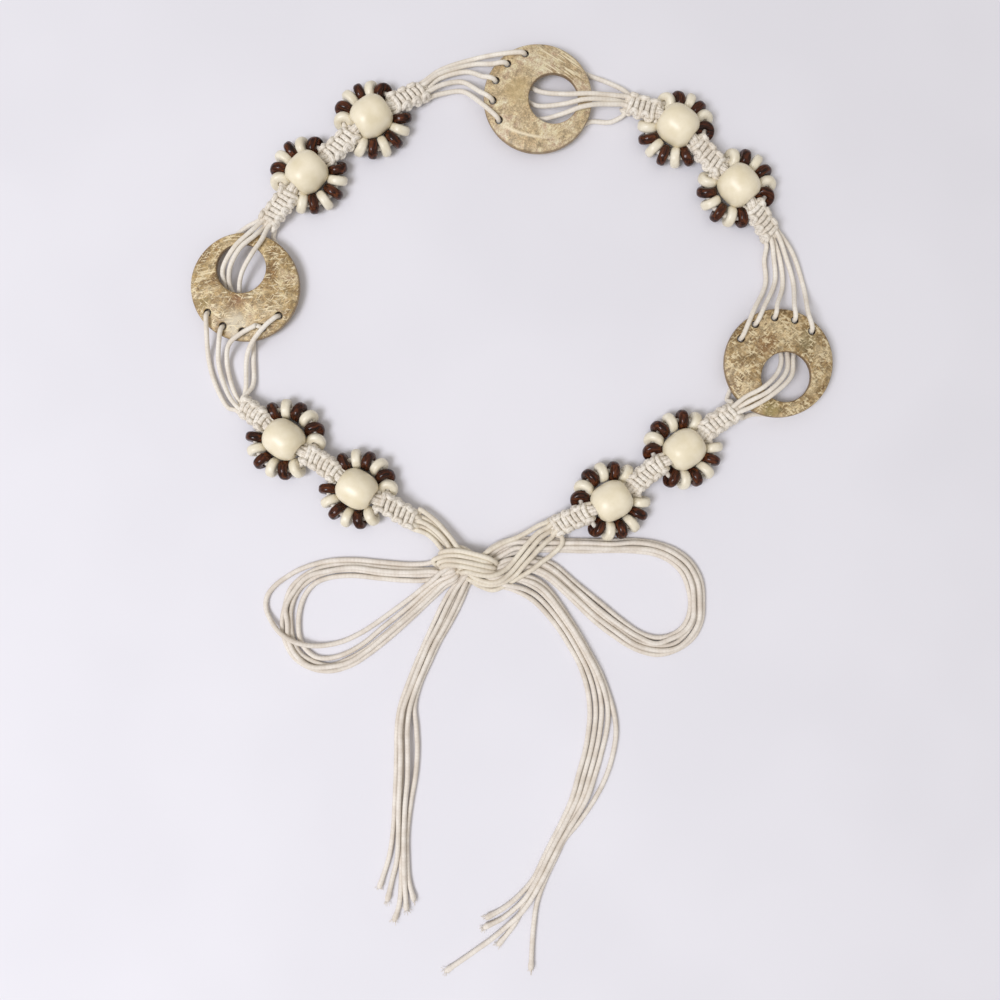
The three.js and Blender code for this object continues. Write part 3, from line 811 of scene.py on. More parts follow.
def add_tube(parts: MeshParts, path: Array, radius: float, offset: float = 0.0,
             swell: Array | None = None, sides: int = TUBE_SIDES) -> None:
    """Adds a round cord with rounded ends along a path.

    Args:
        parts: the piece that it belongs to.
        path: its middle line.
        radius: its radius.
        offset: where its braid starts, in millimetres.
        swell: how much thicker it is at each point.
        sides: how many sides it has.
    """
    thick = np.ones(len(path)) if swell is None else swell
    ways = np.gradient(path, axis=0)
    ways /= np.maximum(np.linalg.norm(ways, axis=1, keepdims=True), 1e-9)
    first = [path[0] - ways[0] * radius * past for past, _ in END_ROUNDING]
    last = [path[-1] + ways[-1] * radius * past for past, _ in reversed(END_ROUNDING)]
    line = np.vstack([first, path, last])
    narrow = [share for _, share in END_ROUNDING]
    scale = np.concatenate([narrow, thick, narrow[::-1]])
    ways = np.vstack([[ways[0]] * len(first), ways, [ways[-1]] * len(last)])
    side = np.cross(ways[0], SIDE_HINT)
    sides_at = []
    for way in ways:
        side = unit(side - way * side.dot(way))
        sides_at.append(side)
    across = np.array(sides_at)
    up = np.cross(ways, across)
    angles = np.arange(sides) * math.tau / sides
    wheel = np.column_stack([np.cos(angles), np.sin(angles)])
    ring = (across[:, None, :] * wheel[None, :, 0, None] + up[:, None, :] * wheel[None, :, 1, None])
    points = line[:, None, :] + ring * (radius * scale)[:, None, None]
    along = marks_along(line) + offset
    braid = np.zeros((len(line), sides, 3))
    braid[:, :, :2] = wheel
    braid[:, :, 2] = along[:, None]
    faces = []
    for i in range(len(line) - 1):
        for k in range(sides):
            a = i * sides + k
            b = i * sides + (k + 1) % sides
            faces.append((a, b, b + sides, a + sides))
    faces.append(tuple(reversed(range(sides))))
    top = (len(line) - 1) * sides
    faces.append(tuple(top + k for k in range(sides)))
    parts.add(points.reshape(-1, 3), faces, braid.reshape(-1, 3))


def add_turned(parts: MeshParts, profile: Array, centre: Array, axis: Array,
               sides: int, seed: float) -> None:
    """Adds a turned bead: a closed outline spun round its hole.

    Args:
        parts: the piece that it belongs to.
        profile: rows of radius and place along the hole.
        centre: its middle.
        axis: the way of its hole.
        sides: how many steps the turning has.
        seed: where its grain is cut from.
    """
    axis = unit(axis)
    right = unit(np.cross(axis, UP))
    high = np.cross(right, axis)
    angles = np.arange(sides) * math.tau / sides
    spin = np.cos(angles)[:, None] * right + np.sin(angles)[:, None] * high
    points = centre + spin[:, None, :] * profile[None, :, 0, None] + axis * profile[None, :, 1, None]
    local = np.zeros((sides, len(profile), 3))
    local[:, :, 0] = profile[None, :, 1] + seed
    local[:, :, 1] = np.cos(angles)[:, None] * profile[None, :, 0] + seed
    local[:, :, 2] = np.sin(angles)[:, None] * profile[None, :, 0]
    count = len(profile)
    faces = []
    for i in range(sides):
        for k in range(count):
            a = i * count + k
            b = i * count + (k + 1) % count
            c = ((i + 1) % sides) * count + (k + 1) % count
            d = ((i + 1) % sides) * count + k
            faces.append((a, b, c, d))
    parts.add(points.reshape(-1, 3), faces, local.reshape(-1, 3))


def circle_points(middle: Array, radius: float, count: int) -> Array:
    """Returns one round of plan points."""
    angles = np.arange(count) * math.tau / count
    return middle + radius * np.column_stack([np.cos(angles), np.sin(angles)])


def tidy_normals(mesh: bpy.types.Mesh) -> None:
    """Turns all faces of a closed mesh outwards.

    Args:
        mesh: the mesh, which is changed.
    """
    work = bmesh.new()
    work.from_mesh(mesh)
    bmesh.ops.recalc_face_normals(work, faces=work.faces)
    work.to_mesh(mesh)
    work.free()


# Shell rings.

@dataclass(frozen=True)
class ShellRing:
    """One ring of coconut shell: a shallow dome with a large eye and a row of small holes."""

    side: str
    centre: Array
    eye_angle: float
    eye_offset: float
    first_hole_angle: float
    hole_turn: int
    radius: float = 25.2
    thickness: float = 3.5
    dome_rise: float = 3.0
    rim_height: float = 3.1
    eye_radius: float = 11.5
    hole_radius: float = 1.55
    hole_circle: float = 20.9
    hole_step: float = 26.0
    hole_count: int = 5
    edge_round: float = 1.0
    edge_insets: tuple[float, ...] = (0.08, 0.25, 0.5, 0.85)
    grid: float = 1.15
    grid_inset: float = 1.25
    rim_steps: int = 168
    eye_steps: int = 96
    hole_steps: int = 28
    ripple: float = 0.12
    ripple_turns: tuple[float, float] = (0.23, 0.17)

    def eye(self) -> Array:
        """Returns where the middle of the eye is from the ring's middle."""
        turn = math.radians(self.eye_angle)
        return self.eye_offset * np.array([math.cos(turn), math.sin(turn)])

    def holes(self) -> Array:
        """Returns where the five small holes are from the ring's middle."""
        turns = self.hole_turn * self.hole_step * np.arange(self.hole_count)
        angles = np.radians(self.first_hole_angle + turns)
        return self.hole_circle * np.column_stack([np.cos(angles), np.sin(angles)])

    def bottom(self, plan: Array) -> Array:
        """Returns the height of the shell's lower face."""
        away = np.minimum(np.hypot(plan[:, 0], plan[:, 1]) / self.radius, 1.0)
        return self.rim_height + self.dome_rise * (1.0 - away ** 2)

    def outside(self, plan: Array) -> Array:
        """Works out how far points are outside the shell.

        Args:
            plan: plan points from the ring's middle.

        Returns:
            One distance for each point, less than nothing inside the shell.
        """
        distance = np.hypot(plan[:, 0], plan[:, 1]) - self.radius
        away = plan - self.eye()
        distance = np.maximum(distance, self.eye_radius - np.hypot(away[:, 0], away[:, 1]))
        for spot in self.holes():
            away = plan - spot
            distance = np.maximum(distance, self.hole_radius - np.hypot(away[:, 0], away[:, 1]))
        return distance

    def insets(self, plan: Array) -> Array:
        """Works out how far points are from the shell's cut edges.

        Args:
            plan: plan points from the ring's middle.

        Returns:
            One row for each point: from the rim, from the eye and from the nearest small hole.
        """
        rim = self.radius - np.hypot(plan[:, 0], plan[:, 1])
        eye = np.hypot(*(plan - self.eye()).T) - self.eye_radius
        hole = np.min([np.hypot(*(plan - spot).T) for spot in self.holes()], axis=0) - self.hole_radius
        return np.maximum(np.column_stack([rim, eye, hole]), 0.0)

    def push_out(self, points: Array, clearance: float) -> Array:
        """Works out how far points must move to stand clear of the shell.

        Args:
            points: the points.
            clearance: how far from the shell's face they must be.

        Returns:
            One move for each point.
        """
        plan = points[:, :2] - self.centre[:2]
        level = self.outside(plan)
        small = 0.05
        slope = np.column_stack([
            self.outside(plan + [small, 0.0]) - self.outside(plan - [small, 0.0]),
            self.outside(plan + [0.0, small]) - self.outside(plan - [0.0, small]),
        ])
        slope /= np.maximum(np.linalg.norm(slope, axis=1, keepdims=True), 1e-6)
        from_middle = points[:, 2] - self.bottom(plan) - self.thickness / 2
        rise = np.abs(from_middle) - self.thickness / 2
        both = np.hypot(np.maximum(level, 0.0), np.maximum(rise, 0.0))
        depth = both + np.minimum(np.maximum(level, rise), 0.0)
        need = np.maximum(clearance - depth, 0.0)
        flat = np.where(both > 1e-6, np.maximum(level, 0.0), (level > rise).astype(float))
        tall = np.where(both > 1e-6, np.maximum(rise, 0.0), (level <= rise).astype(float))
        way = np.column_stack([slope * flat[:, None], np.sign(from_middle) * tall])
        way /= np.maximum(np.linalg.norm(way, axis=1, keepdims=True), 1e-6)
        return way * need[:, None]

    def outlines(self, inset: float = 0.0) -> list[Array]:
        """Draws a round of points at each cut edge.

        Args:
            inset: how far from the edge the points are.

        Returns:
            The plan points at the rim, at the eye and at each small hole.
        """
        rounds = [circle_points(np.zeros(2), self.radius - inset, self.rim_steps),
                  circle_points(self.eye(), self.eye_radius + inset, self.eye_steps)]
        return rounds + [circle_points(spot, self.hole_radius + inset, self.hole_steps)
                         for spot in self.holes()]

    def plan_mesh(self) -> tuple[Array, list[list[int]], list[tuple[int, int]]]:
        """Cuts the ring's plan into triangles.

        Returns:
            The plan points, the triangles, and the pairs of points along the cut edges.
        """
        loops = self.outlines()
        inner = [points for inset in self.edge_insets for points in self.outlines(inset)]
        reach = np.arange(-self.radius, self.radius, self.grid)
        grid = np.array([(x + (k % 2) * self.grid / 2, y) for k, y in enumerate(reach) for x in reach])
        inner.append(grid[self.outside(grid) < -self.grid_inset])
        plan = np.vstack(loops + inner)
        edges = []
        start = 0
        for loop in loops:
            edges += [(start + i, start + (i + 1) % len(loop)) for i in range(len(loop))]
            start += len(loop)
        corners, _, triangles, sources, _, _ = delaunay_2d_cdt(
            [Vector(point) for point in plan], edges, [], 0, 1e-5)
        place = {source: i for i, given in enumerate(sources) for source in given}
        corners = np.array([[corner.x, corner.y] for corner in corners])
        middles = np.array([corners[list(face)].mean(axis=0) for face in triangles])
        keep = self.outside(middles) < 0.0
        triangles = [list(face) for face, inside in zip(triangles, keep) if inside]
        return corners, triangles, [(place[a], place[b]) for a, b in edges]

    def build(self, finish: PolishedCoconutShell) -> Piece:
        """Builds the ring with rounded edges.

        Args:
            finish: its material.

        Returns:
            The piece.
        """
        corners, triangles, edges = self.plan_mesh()
        inset = np.maximum(-self.outside(corners), 0.0)
        nearness = np.clip(self.edge_round - inset, 0.0, self.edge_round)
        drop = self.edge_round - np.sqrt(np.maximum(self.edge_round ** 2 - nearness ** 2, 0.0))
        low = self.bottom(corners)
        wave = corners[:, 0] * self.ripple_turns[0] + corners[:, 1] * self.ripple_turns[1]
        lift = self.ripple * np.sin(wave)
        top = np.column_stack([corners, low + self.thickness - drop + lift])
        under = np.column_stack([corners, low + drop])
        count = len(corners)
        faces = triangles + [[count + corner for corner in reversed(face)] for face in triangles]
        faces += [[first, count + first, count + second, second] for first, second in edges]
        parts = MeshParts()
        points = np.vstack([top, under]) + [self.centre[0], self.centre[1], 0.0]
        borders = self.insets(corners)
        parts.add(points, faces, np.vstack([borders, borders]))
        piece = parts.build(f"shell_{self.side}", finish.build(), "edge")
        tidy_normals(piece.data)
        return put_on(piece, Cover.SHELL, f"shell_ring_{self.side}")


RING_HEIGHT = ShellRing.rim_height + ShellRing.thickness / 2
RINGS = {
    "left": ShellRing("left", seen([(-125.5, 16.9, RING_HEIGHT)])[0], 99.5, 8.2, 215.5, 1),
    "top": ShellRing("top", seen([(11.75, 105.3, RING_HEIGHT)])[0], -7.6, 7.2, 106.5, 1),
    "right": ShellRing("right", seen([(124.6, -18.8, RING_HEIGHT)])[0], -66.8, 7.2, 148.0, -1),
}

SHELL_FINISHES = {
    "left": PolishedCoconutShell(
        name="polished coconut shell, golden", centre=tuple(RINGS["left"].centre[:2]),
        dark="#866a44", mid="#a88f62", pale="#c6b18a",
        dashes=(
            Dashes(24.0, 2.6, 1.0, 0.56, "#6f4e2a", 0.6),
            Dashes(6.0, 7.5, 0.65, 0.59, "#eee0bc", 0.9),
            Dashes(58.0, 5.4, 0.6, 0.6, "#ead9b2", 0.85),
            Dashes(-40.0, 5.0, 0.6, 0.61, "#ecdcb6", 0.85),
            Dashes(10.0, 12.0, 1.2, 0.54, "#ead9b2", 0.85, (-16.0, 4.0, 7.0)),
        ),
        patches=(
            ShellPatch(-1.0, -7.0, 4.4, "#8d5f3a", 0.55),
            ShellPatch(-3.5, -17.5, 6.6, "#cfc3a8", 0.9),
            ShellPatch(-18.0, -8.0, 4.0, "#9a8a4e", 0.4),
        ),
    ),
    "top": PolishedCoconutShell(
        name="polished coconut shell, pale", centre=tuple(RINGS["top"].centre[:2]),
        dark="#ae9874", mid="#c0ac88", pale="#cfbe9f",
        dashes=(
            Dashes(-10.0, 1.6, 1.0, 0.6, "#d9caa2", 0.6),
            Dashes(70.0, 2.4, 0.8, 0.61, "#a38555", 0.5),
            Dashes(-34.0, 16.0, 1.0, 0.53, "#ecdfbd", 0.9, (9.0, 15.5, 12.5)),
            Dashes(-34.0, 13.0, 0.8, 0.56, "#8a6c42", 0.85, (13.0, 14.0, 11.5)),
            Dashes(30.0, 2.6, 0.9, 0.57, "#dccba2", 0.7, (10.0, -15.0, 7.0)),
        ),
        patches=(
            ShellPatch(-9.0, 2.0, 7.0, "#bfa877", 0.55),
        ),
        veins=(ShellVein(4.0, 20.0, 38.8, 1.0, "#f3e6c6", (-7.0, -17.5, 12.5)),),
    ),
    "right": PolishedCoconutShell(
        name="polished coconut shell, olive", centre=tuple(RINGS["right"].centre[:2]),
        dark="#7c633c", mid="#9b8259", pale="#baa57f",
        dashes=(
            Dashes(40.0, 2.6, 1.1, 0.55, "#6a4d2a", 0.65),
            Dashes(-38.0, 3.2, 1.0, 0.555, "#e0cfa8", 0.85),
            Dashes(48.0, 3.0, 0.9, 0.57, "#dac79c", 0.8),
            Dashes(8.0, 2.0, 0.9, 0.59, "#e2d2ac", 0.75),
        ),
        patches=(
            ShellPatch(12.0, 10.0, 5.6, "#938863", 0.5),
            ShellPatch(-6.0, 9.0, 6.0, "#966f49", 0.45),
            ShellPatch(-4.0, -21.5, 4.6, "#a59a60", 0.45),
        ),
    ),
}


# Cords. Each point has its height, or lies on the table.

@dataclass
class Strand:
    """One cord's middle line and how freely each point may give way to the others."""

    name: str
    path: Array
    freedom: Array
    radius: float = CORD_RADIUS

    @classmethod
    def through(cls, name: str, points: Array, held: int = 3, radius: float = CORD_RADIUS,
                step: float = STRAND_STEP) -> "Strand":
        """Makes a strand through points.

        Args:
            name: the strand's name.
            points: the points in millimetres.
            held: how many points at each end stay where they are.
            radius: the cord's radius.
            step: about how far apart its points are.

        Returns:
            The strand.
        """
        path = smooth_route(points, step)
        path[:, 2] = np.maximum(path[:, 2], radius + TABLE_GAP)
        freedom = np.ones(len(path))
        freedom[:held] = 0.0
        freedom[len(path) - held:] = 0.0
        return cls(name, path, freedom, radius)


@dataclass(frozen=True)
class Settling:
    """Lets cords that were laid through one another move apart until they only touch."""

    passes: int = 70
    renew: int = 7
    press: float = 0.97
    own_length: int = 7
    calm: float = 0.3
    last_passes: int = 8
    last_calm: float = 0.3
    near_by: float = 0.8
    share: float = 0.45
    shell_gap: float = 0.03
    shell_share: float = 0.7

    def touching(self, points: Array, owner: Array, reach: float) -> tuple[Array, Array]:
        """Finds the points that are near each other and not neighbours on one cord.

        Args:
            points: the points of all cords.
            owner: the number of each point's cord.
            reach: how near is near.

        Returns:
            The first and the second point of each pair.
        """
        tree = KDTree(len(points))
        for i, point in enumerate(points):
            tree.insert(point, i)
        tree.balance()
        first = []
        second = []
        for i, point in enumerate(points):
            for _, other, _ in tree.find_range(point, reach):
                if other <= i or (owner[i] == owner[other] and other - i < self.own_length):
                    continue
                first.append(i)
                second.append(other)
        return np.array(first, dtype=int), np.array(second, dtype=int)

    def run(self, strands: Sequence[Strand], shells: Sequence[ShellRing] = ()) -> None:
        """Moves the strands' points.

        Args:
            strands: the cords, which are changed.
            shells: the shell rings that they must stay clear of.
        """
        rest = np.vstack([strand.path for strand in strands])
        free = np.concatenate([strand.freedom for strand in strands])
        radius = np.concatenate([np.full(len(strand.path), strand.radius) for strand in strands])
        owner = np.concatenate([np.full(len(strand.path), i) for i, strand in enumerate(strands)])
        own = np.arange(len(rest))
        before = np.maximum(own - 1, 0)
        after = np.minimum(own + 1, len(rest) - 1)
        before = np.where(owner[before] == owner, before, own)
        after = np.where(owner[after] == owner, after, own)
        move = np.zeros_like(rest)
        first = second = np.array([], dtype=int)
        for turn in range(self.passes):
            points = rest + move
            if turn % self.renew == 0:
                first, second = self.touching(points, owner, 2.0 * float(radius.max()) + self.near_by)
            if len(first):
                gap = points[first] - points[second]
                distance = np.maximum(np.linalg.norm(gap, axis=1), 1e-3)
                overlap = np.maximum(self.press * (radius[first] + radius[second]) - distance, 0.0)
                share = free[first] / np.maximum(free[first] + free[second], 1e-6)
                push = gap / distance[:, None] * overlap[:, None] * self.share
                np.add.at(move, first, push * share[:, None] * (free[first] > 0)[:, None])
                np.add.at(move, second, -push * (1.0 - share)[:, None] * (free[second] > 0)[:, None])
            for shell in shells:
                away = shell.push_out(rest + move, PULLED_CORD_RADIUS + self.shell_gap)
                move += away * free[:, None] * self.shell_share
            calm = self.calm if turn < self.passes - self.last_passes else self.calm * self.last_calm
            level = 0.5 * (move[before] + move[after])
            move = np.where(free[:, None] > 0, move * (1.0 - calm) + level * calm, 0.0)
            low = radius + TABLE_GAP - rest[:, 2]
            move[:, 2] = np.maximum(move[:, 2], low)
        start = 0
        for strand in strands:
            strand.path = (rest + move)[start:start + len(strand.path)]
            start += len(strand.path)


RING_CORDS = {
    "left": (
        ([(-133.5, -39.8, 2.6), (-139.2, -30.0, 1.6), (-142.8, -17.4, 1.5), (-144.0, -3.0, 8.3)], 0,
         [(-143.5, 20, 1.5), (-138, 34, 1.5), (-130.2, 41.0, 1.4), (-124.5, 45.5, 2.4)]),
        ([(-133.6, -33.5, 4.4), (-138.2, -19, 2.4), (-138.0, -6.8, 8.3)], 1,
         [(-134.6, 15.4, 2.3), (-136.4, 25, 6.8), (-130.8, 36.0, 10.0), (-123.6, 42.8, 8.7)]),
        ([(-131, -32, 3.2), (-134.3, -18, 2.8), (-133.2, -9.4, 8.3), (-127.0, -4.2, 9.3),
          (-121.0, -0.8, 9.5)], 3,
         [(-124.4, 5, 2.3), (-132.4, 16.4, 3.2), (-133.2, 25, 7.2), (-128.3, 35.3, 10.2),
          (-121.2, 41.4, 8.7)]),
        ([(-122.2, -29, 2.0), (-121.8, -17, 1.4), (-122, -7, 1.35)], None,
         [(-125, 4, 1.4), (-128.4, 13, 3.4), (-127.6, 23, 7.6), (-122.8, 32.6, 10.3),
          (-118.0, 39.4, 8.7)]),
        ([(-125.2, -30, 3.4), (-125.0, -16, 3.6), (-122.4, -8.6, 8.4), (-115.8, -0.4, 9.5)], 4,
         [(-106, 18, 1.5), (-107.5, 31, 1.5), (-112.5, 40, 1.4), (-111.6, 44.5, 2.4)]),
    ),
    "top": (
        ([(-34, 119.0, 2.4), (-18, 124.2, 2.2), (-4.5, 126.8, 8.3)], 0,
         [(22, 126.5, 1.5), (33.5, 117.6, 1.4), (43.5, 113.6, 1.6), (52.0, 109.6, 2.4)]),
        ([(-35, 117.0, 4.4), (-19, 121.6, 2.8), (-9.4, 122.0, 8.3)], 1,
         [(6, 112.6, 2.8), (12.6, 109.0, 5.4), (24, 107.8, 9.4), (36.2, 108.1, 9.9), (47, 106.8, 7.2)]),
        ([(-35, 114.9, 3.0), (-22, 118.2, 3.0), (-13.8, 116.0, 8.3)], 2,
         [(3, 107, 2.4), (11, 102.4, 4.6), (24, 103.2, 8.6), (34, 105.4, 9.9), (46, 105.2, 7.2)]),
        ([(-33, 112.2, 4.2), (-24, 113.4, 2.8), (-15.2, 108.8, 8.3)], 3,
         [(3, 97.6, 2.4), (13.6, 96.0, 4.2), (23, 98.4, 8.0), (33, 102.0, 9.9), (45, 103.6, 7.2)]),
        ([(-33, 108.0, 2.4), (-24, 109, 2.0), (-15.0, 103.6, 8.3)], 4,
         [(12, 88, 1.5), (28, 90, 1.5), (36.0, 94.6, 1.4), (46, 94.6, 1.8), (52.6, 98.6, 2.6)]),
    ),
    "right": (
        ([(118.2, 30, 2.4), (118.8, 19, 2.0), (113.2, 6.0, 8.3)], 0,
         [(103.5, -18, 1.5), (102.8, -29, 1.4), (100.6, -36, 2.6)]),
        ([(122.6, 31, 4.2), (123.2, 20, 2.8), (118, 7.4, 8.3)], 1,
         [(119, -6, 2.4), (125.6, -13.6, 4.2), (125.2, -21.6, 7.6), (118.4, -29.6, 10.4),
          (109.6, -34.4, 9.0)]),
        ([(125.4, 30.6, 3.0), (126.8, 18, 2.8), (124.2, 8.4, 8.3)], 2,
         [(127, -6, 2.6), (128.9, -14.1, 4.4), (128.6, -22.6, 7.6), (120.6, -31.6, 10.4),
          (110.4, -37.0, 9.0)]),
        ([(128.4, 31, 4.2), (131.8, 19, 2.8), (132.4, 8, 8.3)], 3,
         [(133, -8, 2.6), (131.8, -16, 4.6), (131.0, -24.6, 7.8), (122.4, -33.2, 10.4),
          (112.4, -39.2, 9.0)]),
        ([(131.4, 33.0, 2.4), (136.6, 17, 2.0), (139, 4.6, 8.3)], 4,
         [(145, -18, 1.5), (141, -36, 1.5), (126, -42.5, 1.4), (112.6, -42.8, 1.4),
          (107.4, -44.6, 3.4)]),
    ),
}


def cord_piece(name: str, node: str, strands: Sequence[Strand], finish: Material,
               offset: float = 0.0, step: float = 0.0, swell: Array | None = None) -> Piece:
    """Builds one piece of one cord or several.

    Args:
        name: the piece's name.
        node: the node that it stands for.
        strands: its cords.
        finish: the cotton.
        offset: where the first cord's braid starts, in millimetres.
        step: how much further each next one starts.
        swell: how much thicker the cord is at each point.

    Returns:
        The piece.
    """
    parts = MeshParts()
    for i, strand in enumerate(strands):
        add_tube(parts, strand.path, strand.radius, offset=offset + step * i, swell=swell)
    return put_on(parts.build(name, finish, "braid"), Cover.COTTON, node)


# A cord's way down a small hole: how far before it, how far past it and how high each point is.
WAY_DOWN = ((3.4, 0.0, 9.1), (1.5, 0.0, 8.7), (0.55, 0.0, 7.2), (0.1, 0.2, 4.6), (0.0, 1.3, 2.3))


@dataclass(frozen=True)
class RingCords:
    """The five cords at one shell ring, each down a small hole and back over the far rim."""

    side: str
    toward: str
    away: str
    slot_turn: int
    near_bar: float = 1.6
    braid_step: float = 31.0

    def dive(self, ring: ShellRing, index: int, before: Array, after: Array) -> Array:
        """Lays a cord down a small hole.

        Args:
            ring: the shell ring.
            index: which small hole.
            before: the point that the cord comes from.
            after: the point that it goes on to.

        Returns:
            The points over the hole's edge, in it and under it.
        """
        spot = np.array([*(ring.centre[:2] + ring.holes()[index]), 0.0])
        back = level_way(spot, before)
        onward = level_way(spot, after)
        return np.array([spot + back * short + onward * past + [0, 0, height]
                         for short, past, height in WAY_DOWN])

    def strands(self) -> list[Strand]:
        """Lays the five cords from bar to bar.

        Returns:
            The strands before they settle.
        """
        ring = RINGS[self.side]
        strands = []
        for i, (before, hole, after) in enumerate(RING_CORDS[self.side]):
            slot = self.slot_turn * (2 - i)
            coming = seen(before)
            going = seen(after)
            down = [] if hole is None else [self.dive(ring, hole, coming[-1], going[0])]
            start = [cord_slot(self.toward, slot, reach) for reach in (-TUCKED, self.near_bar)]
            finish = [cord_slot(self.away, -slot, reach) for reach in (self.near_bar, -TUCKED)]
            points = np.vstack([start, coming, *down, going, finish])
            name = f"ring_cord_{self.side}_{i + 1}"
            strands.append(Strand.through(name, points, radius=PULLED_CORD_RADIUS))
        return strands

    def build(self, finish: Material) -> list[Piece]:
        """Builds the five cords.

        Args:
            finish: the cotton.

        Returns:
            The pieces.
        """
        strands = self.strands()
        Settling().run(strands, [RINGS[self.side]])
        return [cord_piece(strand.name, f"ring_cords_{self.side}", [strand], finish, self.braid_step * i)
                for i, strand in enumerate(strands)]


# Beads.

@dataclass(frozen=True)
class RoundBead:
    """One large bead: a ball with a wide hole, its lips rounded."""

    number: int
    radius: float = 8.8
    pole: float = 8.55
    stretch: float = 9.3
    fullness: float = 2.65
    hole: float = 3.1
    lip: float = 0.5
    lip_steps: int = 6
    ball_steps: int = 45
    sides: int = 64

    def profile(self) -> Array:
        """Draws the outline that is spun round the hole.

        Returns:
            Rows of radius and place along the hole.
        """
        along = self.pole * np.sin(np.linspace(math.pi / 2, -math.pi / 2, self.ball_steps))
        bulge = (1.0 - np.abs(along / self.stretch) ** self.fullness) ** (1.0 / self.fullness)
        ball = np.column_stack([self.radius * bulge, along])
        lip = [(self.hole + self.lip * (1 - math.cos(a)), self.pole - self.lip * (1 - math.sin(a)))
               for a in np.linspace(0.0, math.pi / 2, self.lip_steps)]
        far = [(r, -z) for r, z in reversed(lip)]
        return np.vstack([lip, ball, far])

    def build(self, finish: Material) -> Piece:
        """Builds the bead.

        Args:
            finish: its paint.

        Returns:
            The piece.
        """
        parts = MeshParts()
        add_turned(parts, self.profile(), BEADS[self.number - 1], way_along(self.number),
                   self.sides, seed=13.0 * self.number)
        piece = parts.build(f"bead_{self.number}", finish, "grain")
        return put_on(piece, Cover.CREAM, f"round_bead_{self.number}")


# For each large bead: how far its small beads stand off, and how many degrees the first and the last
# of each side lean over. The ones between lean less.
WREATH_REACH = {
    "outer": (13.8, 14.1, 13.45, 13.45, 12.9, 13.7, 13.8, 13.9),
    "inner": (13.8, 14.1, 13.45, 13.45, 13.4, 13.7, 13.8, 13.9),
}
WREATH_LEANS = {
    "outer": ((-22, -8), (-25, -8), (-38, 35), (-40, 42), (-46, 58), (-25, 50), (-8, 28), (-8, 30)),
    "inner": ((-54, 0), (-56, 0), (-22, 32), (-25, 30), (-42, 25), (-48, -5), (12, 52), (12, 54)),
}


